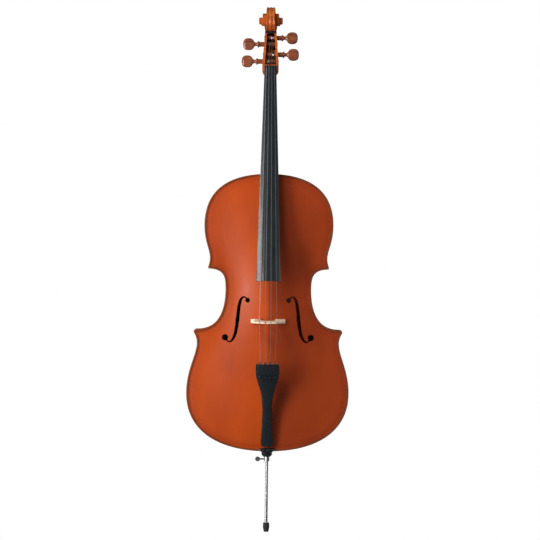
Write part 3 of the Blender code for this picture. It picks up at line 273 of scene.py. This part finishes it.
# %% Plate surface
def plate(name, side, rise, button=False):
    edge = OUTLINE.copy()
    if button:
        start = np.argmax((edge[:, 1] > BODY_LENGTH / 2) & (edge[:, 0] < 23))
        turn = np.radians(np.linspace(0, 90, 14))
        cap = np.column_stack([BUTTON_HALF * np.cos(turn),
                               BODY_LENGTH + BUTTON_RISE + BUTTON_HALF * np.sin(turn)])
        edge = np.vstack([edge[:start], (BUTTON_HALF, edge[start, 1] + 3), cap])
    steps = np.concatenate([[0], np.cumsum(np.linalg.norm(np.diff(edge, axis=0), axis=1))])
    share = 0.85 * np.minimum(edge[:, 1], BODY_LENGTH) / BODY_LENGTH + 0.15 * steps / steps[-1]
    centre = np.column_stack([0 * share, 60 + (BODY_LENGTH - 110) * share])
    reach = np.linalg.norm(centre - edge, axis=1)[:, None]
    fine = np.array([0, 0.3, 0.8, 1.5, 2.4, 3.4, 4.4, 5.4, 6.6, 8, 10, 13, 17])[None, :] / reach
    rest = fine[:, -1:] + (1 - fine[:, -1:]) * np.linspace(0, 1, 22)[None, 1:]
    places = np.hstack([fine, rest])[:, :, None]
    flat = edge[:, None] * (1 - places) + centre[:, None] * places
    x, z = flat[..., 0], flat[..., 1]
    swell = arch(x, z, rise)
    near = from_edge(x.ravel(), np.minimum(z, BODY_LENGTH).ravel()).reshape(x.shape)
    if button:
        near = np.where(z > BODY_LENGTH - 4, np.minimum(places[..., 0] * reach, 4), near)
    near[:, 0] = 0
    outer = FACE + EDGE + swell + edge_profile(near)
    inner = FACE + np.maximum(0, swell - 0.7) + np.where(near < 1.2, 0.8 * (1 - near / 1.2), 0)
    grid = np.concatenate([np.dstack([x, side * outer, z])[:, ::-1], np.dstack([x, side * inner, z])], axis=1)
    rows, columns = grid.shape[:2]
    half = grid.reshape(-1, 3) + (0, 0, BODY_FOOT)
    half[np.abs(half[:, 0]) < 0.01, 0] = 0
    faces = grid_faces(rows, columns)
    points = np.vstack([half, half * (-1, 1, 1)])
    made = solid(name, points, np.vstack([faces, faces + len(half)]), replaces=(name.replace("_fine", ""),))
    print(name, len(made.data.polygons), "faces")
    return made


def mark_edge(obj):
    """Stores each point's distance from the outline, for purfling and worn edges."""
    points = np.empty(len(obj.data.vertices) * 3, np.float32)
    obj.data.vertices.foreach_get("co", points)
    points = points.reshape(-1, 3) / MM
    near = from_edge(points[:, 0].astype(float), points[:, 2] - BODY_FOOT)
    stored = obj.data.attributes.new("edge_mm", "FLOAT", "POINT")
    stored.data.foreach_set("value", near.astype(np.float32))


# %% [markdown]
# ## Sound holes
# The stem is a line through twelve points whose half width swells in the middle. A circle closes each
# end, and a small diamond across the stem notches both its sides where the bridge stands.

# %% Sound hole cutters
def slab(name, outline, low, high):
    """A cutter: an outline of (x, height on the body) points, from one depth to another."""
    x, z = outline[:, 0], outline[:, 1] + BODY_FOOT
    rings = [np.column_stack([x, np.full(len(x), y), z]) for y in (low, high)]
    return solid(name, *loft(rings), body=None)


def sound_hole_tools():
    spine = through([(56.5, 414), (61, 418), (67, 419.8), (74, 413.5), (78.5, 398), (81, 378), (83, 358),
                     (85.5, 338), (89.5, 318), (96, 304), (104.5, 297.5), (114, 303.5)], 8)
    along = np.gradient(spine, axis=0)
    along /= np.linalg.norm(along, axis=1)[:, None]
    half = np.interp(np.linspace(0, 1, len(spine)), [0, 0.15, 0.35, 0.55, 0.75, 0.9, 1],
                     [1.5, 1.9, 4.4, 5.0, 4.0, 2.1, 1.8])[:, None]
    across = np.column_stack([-along[:, 1], along[:, 0]]) * half
    turn = np.radians(np.arange(0, 360, 9))
    circle = np.column_stack([np.cos(turn), np.sin(turn)])
    shapes = [np.vstack([spine + across, (spine - across)[::-1]]),
              np.array([(75.3, 357), (83, 355.2), (90.7, 359), (83, 360.8)]),
              circle * 6.5 + (56, 411), circle * 8.5 + (116.5, 309.5)]
    return [slab(f"cut_{side}_{k}", shape * (side, 1), -STOP_TOP - 10, -FACE + 6)
            for side in (-1, 1) for k, shape in enumerate(shapes)]


# %% Build both plates
top = plate("top_plate_fine", -1, TOP_RISE)
notch = np.array([(-19.3, -5), (19.3, -5), (19.3, 9.3), (-19.3, 9.3)])
carve(top, [*sound_hole_tools(), slab("cut_saddle", notch, -FACE - 20, -FACE + 0.15)])
mark_edge(top)
back = plate("back_plate_fine", 1, BACK_RISE, button=True)
mark_edge(back)

# %% [markdown]
# ## Neck and pegbox
# Every section has a flat front and a rounded back: across goes as a power of the cosine and depth as the
# same power of the sine, so a small power gives a square section and a large one a round one. Stations
# along the neck give front, back, widths and power, and a smooth line through them fills the rest.

# %% Sections of the neck
def on_neck(along, out, x=0.0):
    """A point from its place along the neck's front face and its height off that face."""
    y = -(FACE + EDGE + OVERSTAND) + math.sin(NECK_SLOPE) * along - math.cos(NECK_SLOPE) * out
    z = BODY_END + math.cos(NECK_SLOPE) * along + math.sin(NECK_SLOPE) * out
    return np.array([x, y, z])


def board_half(along):
    return BOARD_NUT_HALF + BOARD_FLARE * (NECK_LENGTH - along) / BOARD_LENGTH


def neck_stations():
    rows = []
    floor, heel_foot, heel_head = FACE - CLEAR, BODY_END + 16, on_neck(72, -23)
    edge = board_half(0) - CLEAR

    def front_at(z):
        return on_neck((z - BODY_END) / math.cos(NECK_SLOPE), 0)

    for z in (BODY_END - 9.5, BODY_END - 2, BODY_END + 6):
        rows.append([*front_at(z)[1:], floor, z, edge, HEEL_HALF, 0.3])
    for share in np.linspace(0, 1, 6):
        turn = math.pi / 2 * share
        back = (floor + (heel_head[1] - floor) * math.sin(turn),
                heel_head[2] + (heel_foot - heel_head[2]) * math.cos(turn))
        half = edge + (board_half(72) - CLEAR - edge) * share
        front = front_at(heel_foot + (heel_head[2] - heel_foot) * share)
        back_half = HEEL_HALF + (half - HEEL_HALF) * share**2
        rows.append([*front[1:], *back, half, back_half, 0.3 + 0.6 * share**0.7])
    for along, deep in ((120, -22), (180, -20.5), (235, -19.5), (270, -19.5)):
        half = board_half(along) - CLEAR
        rows.append([*on_neck(along, 0)[1:], *on_neck(along, deep)[1:], half, half, 0.9])
    box = ((276, 0, -21.5, 17.5, 0.75), (281, 0, -28, 21, 0.6), (288, 0, -36, 22.3, 0.5),
           (296, 0, -41.5, 22.5, 0.42), (304, 0.5, -44, 22.2, 0.36), (330, -5.5, -49, 20.5, 0.34),
           (360, -13, -57, 18.5, 0.34), (390, -20.5, -65, 16.6, 0.34), (408, -30, -69.5, 15.4, 0.34),
           (424, -48, -70, 14.3, 0.34))
    for along, out, deep, half, power in box:
        rows.append([*on_neck(along, out)[1:], *on_neck(along, deep)[1:], half, half, power])
    return through(rows, 6)


def neck_surface(sides=56):
    rows = neck_stations()[:, None, :]
    turn = np.linspace(0, np.pi, sides)[None, :]
    power = rows[..., 6]
    deep = np.sin(turn) ** power
    deep[:, -1] = 0
    across = np.sign(np.cos(turn)) * np.abs(np.cos(turn)) ** power
    half = rows[..., 4] + (rows[..., 5] - rows[..., 4]) * deep
    y = rows[..., 0] + (rows[..., 2] - rows[..., 0]) * deep
    z = rows[..., 1] + (rows[..., 3] - rows[..., 1]) * deep
    return loft(np.dstack([half * across, y, z]))


HOLLOW = [(303.5, 15.5, -33, 14), (330, 14.2, -39, 14), (360, 12.6, -46.5, 14), (388, 11.2, -53, 14),
          (397, 10.6, -50, 6)]


def pegbox_hollow():
    rows = through(HOLLOW, 5)
    rings = [[on_neck(a, front, half), on_neck(a, floor + 2, half * 0.95), on_neck(a, floor, half * 0.75),
              on_neck(a, floor, -half * 0.75), on_neck(a, floor + 2, -half * 0.95), on_neck(a, front, -half)]
             for a, half, floor, front in rows]
    return solid("cut_pegbox", *loft(rings), body=None)


neck = solid("neck_fine", *neck_surface(), replaces=("neck",))
carve(neck, [pegbox_hollow()])
print("neck", len(neck.data.polygons), "faces")

# %% [markdown]
# ## Volute
# The radius shrinks with the turn, and the half width grows, so each turn stands outside the last. A
# turn's side face is scooped between its outer edge and its foot, a wall climbs from there to the next
# turn, and the outer rim carries two flutes with a ridge between them.

# %% Volute surface
def volute_radius(turn):
    return EYE_RADIUS + (VOLUTE_START - EYE_RADIUS) * np.clip(1 - turn / VOLUTE_TURN, 0, 1) ** 1.35


def volute_half(turn):
    return np.interp(turn, [0, 120, 200, 300, 390, 480, 570, 660, 750, 840],
                     [15.2, 11.2, 10.6, 14.5, 19.5, 22.3, 23.6, 25.5, 28.5, 32.2])


def at_turn(turn, radius, x):
    angle = np.radians(VOLUTE_PHASE + turn)
    y, z = EYE[0] - radius * np.sin(angle), BODY_FOOT + EYE[1] + radius * np.cos(angle)
    return np.stack([x + 0 * angle, y, z], -1)


def volute_sides():
    turn = np.arange(0, VOLUTE_TURN + 0.1, 5.0)[:, None]
    outer, foot = volute_radius(turn), volute_radius(turn + 360)
    half = volute_half(turn)
    bevel = 1.3 * np.minimum(1, (VOLUTE_TURN - turn) / 60)
    place = np.array([0, 0.12, 0.3, 0.5, 0.7, 0.88, 1.0])[None, :]
    radius = (outer - bevel) + (foot - outer + bevel) * place
    scoop = np.minimum(2.6, 0.22 * (outer - foot)) * 4 * place * (1 - place)
    above = turn + 360
    next_half = volute_half(above) - 1.3 * np.clip((VOLUTE_TURN - above) / 60, 0, 1)
    wall_top = np.where(above < VOLUTE_TURN, next_half, volute_half(VOLUTE_TURN) - 1.5)
    radii = np.hstack([outer, radius, foot])
    widths = np.hstack([half - bevel, half - scoop, wall_top])
    return turn, radii, widths


def volute():
    turn, radii, widths = volute_sides()
    points, faces, count = [], [], 0
    rows, columns = radii.shape
    for side in (-1, 1):
        points.append(at_turn(turn, radii, side * widths).reshape(-1, 3))
        faces.append(grid_faces(rows, columns, count))
        count += rows * columns
    rim, wide = 73, 17  # stations in the first full turn, and points across it
    across = np.linspace(-1, 1, wide)[None, :]
    flute = 1.5 * np.sin(np.pi * np.abs(across)) ** 2
    points.append(at_turn(turn[:rim], radii[:rim, :1] - flute, across * widths[:rim, :1]).reshape(-1, 3))
    faces.append(grid_faces(rim, wide, count))
    listed = [face for block in faces for face in block]
    # The last face closes the start, between the rim's two ends and the first row of each side.
    first, rim_start = np.arange(columns), count + np.arange(wide)
    rim_end = rim_start + (rim - 1) * wide
    ring = [*rim_start, *(rows * columns + first), *rim_end[::-1], *first[::-1]]
    return np.vstack(points), [*listed, ring]


def eye_button(side):
    """A round boss with a softened rim that ends the spiral."""
    reach = volute_half(VOLUTE_TURN)
    stations = [(0.1, reach + 0.6), (5.5, reach + 0.5), (EYE_RADIUS - 1.4, reach),
                (EYE_RADIUS, reach - 1.5), (EYE_RADIUS, reach - 12)]
    turn = np.arange(0, 360, 10.0)
    rings = [at_turn(turn, radius, np.full(len(turn), side * x)) for radius, x in stations]
    return solid(f"volute_eye_{'bass' if side < 0 else 'treble'}", *loft(rings))


scroll_parts = [solid("volute", *volute()), eye_button(-1), eye_button(1)]
print("volute", len(scroll_parts[0].data.polygons), "faces")

# %% [markdown]
# ## Pegs and windings
# A peg is a stack of oval rings: a tapered round shank, a turned collar, a waist, and a flat head that
# rises and falls like half a squashed circle. A winding is a tube round a helix that hugs the shank.

# %% Peg and winding surfaces
# For each string: the peg's side, its place along the neck and off its face, its winding's x, and the
# radius of the wire.
PEGS = {"c": (-1, 316.0, -17.0, -7.0, 0.85), "a": (1, 337.0, -23.0, 7.0, 0.45),
        "g": (-1, 368.0, -31.0, -3.2, 0.7), "d": (1, 387.0, -35.0, 3.2, 0.58)}
SHANK, TAPER, PEG_NECK = 6.0, 0.02, 27
HEAD_LONG, HEAD_TALL, HEAD_THICK = 30.7, 16.5, 6.3


def peg(name):
    side, along, out, _, _ = PEGS[name]
    wall = np.interp(along, [292, 302, 410, 424], [22.5, 22.3, 15.3, 14.3])
    taper = SHANK + TAPER * wall
    head = wall + PEG_NECK
    shank = [(-wall - 1, 5.2, 5.2), (-wall, 5.9, 5.9), (wall + 13, taper + 0.3, taper + 0.3),
             (wall + 13.6, 7.6, 7.6), (wall + 14.6, 8.8, 8.8), (wall + 16.2, 9.0, 9.0),
             (wall + 17.4, 8.2, 8.2), (wall + 18, 6.0, 6.0), (wall + 20, 5.0, 5.0), (head - 3, 4.5, 4.9),
             (head - 0.5, 4.9, 6.6)]
    share = np.linspace(0.04, 0.995, 26)
    tall = HEAD_TALL * np.clip(1 - np.abs(2 * share - 1) ** 2.6, 0, 1) ** 0.38
    scoop = 1 - 0.16 * np.sin(np.pi * share) ** 2
    thick = HEAD_THICK * (1 - 0.35 * share**3) * scoop * (1 - share**14)
    blade = np.column_stack([head + HEAD_LONG * share, thick, np.maximum(tall, 6.8 * (share < 0.5))])
    rows = np.vstack([shank, blade])
    turn = np.radians(np.arange(0, 360, 9))[None, :]
    x = side * rows[:, :1] + 0 * turn
    rings = np.dstack([x, rows[:, 1:2] * np.cos(turn), rows[:, 2:3] * np.sin(turn)]) + on_neck(along, out)
    return solid(f"peg_{name}_fine", *loft(rings), body=f"peg_{name}", replaces=(f"peg_{name}",))


def tube(path, radius, sides=10):
    """A round tube: each ring lies across the path's direction."""
    along = np.gradient(path, axis=0)
    along /= np.linalg.norm(along, axis=1)[:, None]
    across = np.cross(along, (1.0, 0.0, 0.0))
    across /= np.linalg.norm(across, axis=1)[:, None]
    other = np.cross(along, across)
    turn = np.linspace(0, 2 * np.pi, sides, endpoint=False)[None, :, None]
    return loft(path[:, None] + radius * (across[:, None] * np.cos(turn) + other[:, None] * np.sin(turn)))


def winding(name):
    side, along, out, place, wire = PEGS[name]
    reach = SHANK + TAPER * side * place + CLEAR + wire
    turns = min(6, int(5.6 / (2 * wire)))
    angle = np.linspace(0, 2 * np.pi * turns, 28 * turns)
    x = place - wire * turns + 2 * wire * turns * angle / angle[-1]
    helix = np.column_stack([x, reach * np.cos(angle), reach * np.sin(angle)])
    path = on_neck(along, out) * (0, 1, 1) + helix
    coil = tube(path, wire * 0.98, 8)
    return solid(f"winding_{name}_fine", *coil, body=f"peg_{name}", replaces=(f"winding_{name}",))


peg_parts = [peg(name) for name in PEGS]
winding_parts = [winding(name) for name in PEGS]

# %% [markdown]
# ## Bridge
# A smooth line through the outline's points, with its mirror image, is given a thickness that falls from
# the feet to the crown. A heart is cut through.

# %% Bridge surface
def bridge():
    foot_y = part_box("bridge")[1].y / MM
    inside = [(0, 38), (11, 36.5), (21, 31), (26.5, 22), (27, 11), (20, 4.5)]
    outside = [(46.5, 5), (36.5, 9.5), (36, 20), (39.5, 31), (42, 38), (36, 43.5), (29, 42), (27.5, 46.5),
               (33, 51), (41.5, 50.5), (40.5, 58), (33, 71), (28.5, 80), (24.5, 84.3)]
    crown = [(x, BRIDGE_HEIGHT - CROWN_RADIUS + math.sqrt(CROWN_RADIUS**2 - x * x)) for x in (18, 12, 6, 0)]
    rising = through([*outside, *crown], 6)
    falling = through(inside, 6)
    sole = np.column_stack([np.linspace(20, 46.5, 8), np.full(8, -4.0)])
    half = np.vstack([falling, sole, rising])
    line = np.vstack([half, (half * (-1, 1))[::-1][1:-1]])
    up = np.clip(line[:, 1] / BRIDGE_HEIGHT, 0, 1)
    middle = BODY_FOOT + BRIDGE_STOP
    thick = 11 - 8.2 * up**0.8
    centre = line - line.mean(axis=0)
    rings = []
    for share, shrink in ((0, 0.5), (0.06, 0), (0.94, 0), (1, 0.5)):
        inner = line - shrink * centre / np.linalg.norm(centre, axis=1)[:, None]
        y = np.minimum(-STOP_TOP - inner[:, 1], foot_y - 0.2)
        rings.append(np.column_stack([inner[:, 0], y, middle - 5.5 + thick * share]))
    made = solid("bridge_fine", *loft(rings), replaces=("bridge",))
    turn = np.radians(np.arange(0, 360, 12))
    x = 7.4 * np.sin(turn) * (1 + 0.25 * np.cos(turn))
    y = -STOP_TOP - (58 + 8.4 * np.cos(turn) - 1.5 * np.abs(np.sin(turn)))
    heart = [np.column_stack([x, y, np.full(len(x), middle + z)]) for z in (-12, 12)]
    carve(made, [solid("cut_heart", *loft(heart), body=None)])
    return made


bridge_part = bridge()

# %% [markdown]
# ## Materials
# Small helpers keep the node trees short. A group returns a mask or a colour only; the shader itself is in
# each material. All patterns read object coordinates, in metres, or the stored distance from the edge.

# %% Node helpers
def add_node(tree, kind, settings=None, **inputs):
    made = tree.nodes.new(kind)
    for name, value in (settings or {}).items():
        setattr(made, name, value)
    for name, value in inputs.items():
        socket = made.inputs[name]
        if isinstance(value, bpy.types.NodeSocket):
            tree.links.new(value, socket)
        else:
            socket.default_value = value
    return made


def mapped(tree, vector, scale):
    return add_node(tree, "ShaderNodeMapping", Vector=vector, Scale=scale).outputs[0]


def noise(tree, vector, scale, detail):
    place = mapped(tree, vector, scale)
    return add_node(tree, "ShaderNodeTexNoise", Vector=place, Scale=1.0, Detail=detail).outputs[0]


def ramp(tree, value, low, high, out_low=0.0, out_high=1.0):
    """A straight climb from one value to another, held flat outside."""
    made = add_node(tree, "ShaderNodeMapRange", {"clamp": True}, Value=value)
    for socket, number in zip(("From Min", "From Max", "To Min", "To Max"), (low, high, out_low, out_high)):
        made.inputs[socket].default_value = number
    return made.outputs[0]


def mix(tree, factor, first, second):
    made = tree.nodes.new("ShaderNodeMix")
    made.data_type = "RGBA"
    for index, value in ((0, factor), (6, first), (7, second)):
        if isinstance(value, bpy.types.NodeSocket):
            tree.links.new(value, made.inputs[index])
        else:
            made.inputs[index].default_value = value
    return made.outputs[2]


def maths(tree, operation, *values):
    made = tree.nodes.new("ShaderNodeMath")
    made.operation = operation
    for index, value in enumerate(values):
        if isinstance(value, bpy.types.NodeSocket):
            tree.links.new(value, made.inputs[index])
        else:
            made.inputs[index].default_value = value
    return made.outputs[0]


def group(name, outputs):
    """An empty node group with a Vector input and the named float outputs."""
    tree = bpy.data.node_groups.new(name, "ShaderNodeTree")
    tree.interface.new_socket("Vector", in_out="INPUT", socket_type="NodeSocketVector")
    for output in outputs:
        tree.interface.new_socket(output, in_out="OUTPUT", socket_type="NodeSocketFloat")
    return tree, tree.nodes.new("NodeGroupInput").outputs[0], tree.nodes.new("NodeGroupOutput")


def material(name, colour, roughness, metallic=0.0, coat=0.0):
    made = bpy.data.materials.new(name)
    made.use_nodes = True
    tree = made.node_tree
    shader = tree.nodes["Principled BSDF"]
    shader.inputs["Base Color"].default_value = (*colour, 1)
    shader.inputs["Roughness"].default_value = roughness
    shader.inputs["Metallic"].default_value = metallic
    shader.inputs["Coat Weight"].default_value = coat
    shader.inputs["Coat Roughness"].default_value = 0.08
    place = tree.nodes.new("ShaderNodeTexCoord").outputs["Object"]
    return made, tree, shader, place


# %% [markdown]
# Spruce shows fine lines along the body, a millimetre or two apart, that wander a little. Maple shows
# flames: soft bands across the grain whose strength comes and goes.

# %% Wood figure groups
def spruce_group():
    tree, vector, out = group("spruce_grain", ["Lines", "Cloud"])
    sway = add_node(tree, "ShaderNodeTexNoise", Vector=mapped(tree, vector, (6, 1, 1.5)), Scale=3.0,
                    Detail=2.0)
    shift = maths(tree, "MULTIPLY", sway.outputs[0], 0.02)
    split = add_node(tree, "ShaderNodeSeparateXYZ", Vector=vector).outputs
    moved = add_node(tree, "ShaderNodeCombineXYZ", X=maths(tree, "ADD", split[0], shift), Y=0.0,
                     Z=maths(tree, "MULTIPLY", split[2], 0.02)).outputs[0]
    wave = add_node(tree, "ShaderNodeTexWave", {"bands_direction": "X"}, Vector=moved, Scale=170.0,
                    Distortion=1.5, Detail=3.0).outputs[1]
    broken = ramp(tree, noise(tree, vector, (900, 900, 12), 3.0), 0.3, 0.7, 0.5, 1.0)
    tree.links.new(maths(tree, "MULTIPLY", maths(tree, "POWER", wave, 2.0), broken), out.inputs[0])
    tree.links.new(noise(tree, vector, (7, 7, 4), 4.0), out.inputs[1])
    return tree


def flame_group():
    tree, vector, out = group("maple_flame", ["Lines", "Cloud"])
    bands = add_node(tree, "ShaderNodeTexNoise", Vector=vector, Scale=1.0, Detail=2.5, Distortion=0.6)
    tree.links.new(ramp(tree, bands.outputs[0], 0.36, 0.64), out.inputs[0])
    tree.links.new(noise(tree, vector, (0.12, 0.12, 0.12), 3.0), out.inputs[1])
    return tree


SPRUCE, FLAME = spruce_group(), flame_group()


# %% [markdown]
# Varnish is one recipe: the figure mixes a bright and a deep colour, and cloudy patches darken it. The
# plates add purfling, two black threads with a pale one between, and a dull brown edge outside it. Each
# plate is two halves joined on the centre line. On the top, the treble half is painted a deeper tone: this
# is painted shade for the side that faces away from the lamps.

# %% Varnish
# The deep tone painted on the top's treble half as shade.
PAINTED_SHADE_TONE = (0.15, 0.018, 0.01, 1)
WORN_EDGE = (0.27, 0.06, 0.014, 1)
PALE_THREAD, BLACK_THREAD = (0.30, 0.14, 0.05, 1), (0.012, 0.008, 0.006, 1)
PURFLING = 4.9  # from the outline to its middle, in millimetres


def varnish(name, figure, scale, bright, deep, strength, purfled=False, painted_shade=0.0):
    made, tree, shader, place = material(name, bright, 0.38, coat=0.12)
    shader.inputs["Specular IOR Level"].default_value = 0.25
    holder = tree.nodes.new("ShaderNodeGroup")
    holder.node_tree = figure
    tree.links.new(mapped(tree, place, scale), holder.inputs[0])
    lines, cloud = holder.outputs
    colour = mix(tree, maths(tree, "MULTIPLY", lines, strength), (*bright, 1), (*deep, 1))
    colour = mix(tree, ramp(tree, cloud, 0.42, 0.75, 0.0, 0.45), colour, (*deep, 1))
    across = add_node(tree, "ShaderNodeSeparateXYZ", Vector=place).outputs[0]
    # Painted shade: where x is above zero, the colour mixes into the deep tone by up to the given share, so
    # the treble half looks shaded.
    colour = mix(tree, ramp(tree, across, -0.003, 0.004, 0.0, painted_shade), colour, PAINTED_SHADE_TONE)
    if purfled:
        edge = add_node(tree, "ShaderNodeAttribute", {"attribute_name": "edge_mm"}).outputs["Fac"]
        colour = mix(tree, ramp(tree, edge, 26.0, 7.0, 0.0, 0.35), colour, (*deep, 1))
        worn = ramp(tree, edge, 4.1, 2.4)
        colour = mix(tree, maths(tree, "MULTIPLY", worn, 0.75), colour, WORN_EDGE)
        away = maths(tree, "ABSOLUTE", maths(tree, "SUBTRACT", edge, PURFLING))
        inside = ramp(tree, away, 1.25, 1.0)
        thread = ramp(tree, away, 0.2, 0.4)
        colour = mix(tree, inside, colour, mix(tree, thread, PALE_THREAD, BLACK_THREAD))
    tree.links.new(colour, shader.inputs["Base Color"])
    bump = add_node(tree, "ShaderNodeBump", Strength=0.12, Distance=0.0003, Height=lines)
    tree.links.new(bump.outputs[0], shader.inputs["Normal"])
    return made


BRIGHT, DEEP = (0.60, 0.082, 0.006), (0.25, 0.02, 0.004)
# The top's treble half carries painted shade at 0.44 of the deep tone.
spruce_varnish = varnish("spruce_varnish", SPRUCE, (1, 1, 1), BRIGHT, DEEP, 0.5, purfled=True, painted_shade=0.44)
back_varnish = varnish("back_varnish", FLAME, (14, 14, 95), (0.50, 0.07, 0.007), (0.20, 0.018, 0.004), 0.75,
                       purfled=True)
rib_varnish = varnish("rib_varnish", FLAME, (80, 5, 80), (0.48, 0.066, 0.007), (0.19, 0.018, 0.004), 0.75)
neck_varnish = varnish("neck_varnish", FLAME, (12, 12, 110), (0.64, 0.15, 0.022), (0.28, 0.04, 0.008), 0.6)


# %% [markdown]
# Plain wood, black wood, peg wood, resin, metal and rubber are variations of one fine grain.

# %% Other materials
def grained(name, bright, deep, roughness, scale, coat=0.0, metallic=0.0, strength=0.1):
    made, tree, shader, place = material(name, bright, roughness, metallic, coat)
    grain = noise(tree, place, scale, 4.0)
    colour = mix(tree, ramp(tree, grain, 0.35, 0.7), (*bright, 1), (*deep, 1))
    tree.links.new(colour, shader.inputs["Base Color"])
    tree.links.new(ramp(tree, grain, 0.3, 0.7, roughness * 0.85, roughness * 1.2), shader.inputs["Roughness"])
    bump = add_node(tree, "ShaderNodeBump", Strength=strength, Distance=0.0002, Height=grain)
    tree.links.new(bump.outputs[0], shader.inputs["Normal"])
    return made


ebony = grained("ebony", (0.02, 0.028, 0.034), (0.009, 0.012, 0.014), 0.38, (60, 60, 6), coat=0.25,
                strength=0.04)
resin = grained("resin", (0.012, 0.018, 0.023), (0.009, 0.013, 0.017), 0.28, (60, 60, 60),
                coat=0.2, strength=0.02)
pegwood = grained("pegwood", (0.36, 0.105, 0.042), (0.13, 0.03, 0.015), 0.3, (30, 260, 260), coat=0.3)
pale_spruce = grained("pale_spruce", (0.70, 0.50, 0.29), (0.52, 0.34, 0.17), 0.6, (500, 500, 15))
pale_maple = grained("pale_maple", (1.0, 0.86, 0.64), (0.93, 0.76, 0.53), 0.45, (60, 200, 200))
metal = grained("metal", (0.43, 0.44, 0.45), (0.36, 0.37, 0.38), 0.34, (30, 30, 120), metallic=1.0,
                strength=0.01)
wound = grained("wound", (0.66, 0.65, 0.64), (0.46, 0.45, 0.45), 0.38, (50, 50, 900), metallic=1.0,
                strength=0.1)
rubber = grained("rubber", (0.018, 0.018, 0.018), (0.03, 0.03, 0.03), 0.75, (400, 400, 400))

# %% Give every piece its material
PAINT = {
    "varnished_spruce": spruce_varnish, "varnished_maple": rib_varnish, "bare_spruce": pale_spruce,
    "bare_maple": pale_maple, "black_wood": ebony, "peg_wood": pegwood, "black_resin": resin,
    "steel": metal, "rubber": rubber,
}
slots = {row["node"]: row["material_slot"] for row in frame["record"]["subparts"]}


def paint(obj, finish):
    obj.data.materials.clear()
    obj.data.materials.append(finish)


for name, obj in nodes.items():
    paint(obj, wound if name.startswith("string_") else PAINT[slots[name]])
paint(top, spruce_varnish)
paint(back, back_varnish)
for piece in (neck, *scroll_parts):
    paint(piece, neck_varnish)
# The inside of the pegbox is stained black, so its faces take the second material.
neck.data.materials.append(ebony)
for face in neck.data.polygons:
    along = (face.center.z / MM - BODY_END - 8) / math.cos(NECK_SLOPE)
    floor = on_neck(along, np.interp(along, [300, 400], [-33, -54.5]))[1]
    inside = 298 < along < 402 and abs(face.center.x / MM) < np.interp(along, [303, 397], [15.8, 10.9])
    face.material_index = int(inside and face.center.y / MM < floor)
for piece in peg_parts:
    paint(piece, pegwood)
for piece in winding_parts:
    paint(piece, wound)
paint(bridge_part, pale_maple)

# %% [markdown]
# ## Light, background and camera
# Strong soft lamps stand on the left and a weak one on the right, so the bass side glows and the treble side
# falls dark. The sheen lamp shows only in glossy surfaces, and the front and behind lamps don't show in them.
# Camera rays see a plain white world; all other rays see a dim one.

# %% Lights and world
def area_light(name, place, aim, size, power, colour=(1, 1, 1), diffuse=True, glossy=True):
    lamp = bpy.data.lights.new(name, "AREA")
    lamp.shape = "RECTANGLE"
    lamp.size, lamp.size_y = size
    lamp.energy, lamp.color = power, colour
    made = bpy.data.objects.new(name, lamp)
    made.location = place
    towards = np.array(aim, float) - np.array(place, float)
    flat = math.hypot(towards[0], towards[1])
    made.rotation_euler = (math.atan2(flat, -towards[2]), 0, math.atan2(-towards[0], towards[1]))
    made.visible_diffuse, made.visible_glossy = diffuse, glossy
    bpy.context.scene.collection.objects.link(made)


area_light("key", (-1.75, -1.5, 0.8), (0, 0, 0.75), (0.6, 1.9), 46, (1.0, 0.97, 0.93))
area_light("front", (-1.3, -2.3, 3.0), (0, 0, 0.75), (1.2, 1.2), 46, glossy=False)
area_light("sheen", (-1.35, -1.75, 0.9), (0, 0, 0.85), (0.35, 1.2), 13, diffuse=False)
area_light("fill", (2.6, -1.0, 1.1), (0, 0, 0.7), (0.9, 2.0), 13)
area_light("behind", (0.8, 2.8, 2.2), (0, 0, 0.8), (2.0, 1.6), 40, glossy=False)

world = bpy.data.worlds.new("studio")
bpy.context.scene.world = world
world.use_nodes = True
tree = world.node_tree
rays = tree.nodes.new("ShaderNodeLightPath")
plain = mix(tree, rays.outputs["Is Camera Ray"], (0.13, 0.13, 0.135, 1), (1, 1, 1, 1))
tree.links.new(plain, tree.nodes["Background"].inputs["Color"])

# %% Camera
VIEW_WIDTH, DISTANCE, ROLL = 1.469, 7.0, math.radians(0.55)
camera = bpy.data.objects.new("camera", bpy.data.cameras.new("camera"))
camera.data.lens = 36.0 * DISTANCE / VIEW_WIDTH
camera.location = (0.004, -DISTANCE - 0.06, 0.718)
camera.rotation_euler = (math.radians(90), 0, 0)
camera.rotation_euler.rotate_axis("Z", ROLL)
bpy.context.scene.collection.objects.link(camera)
bpy.context.scene.camera = camera
bpy.context.scene.view_settings.view_transform = "Standard"
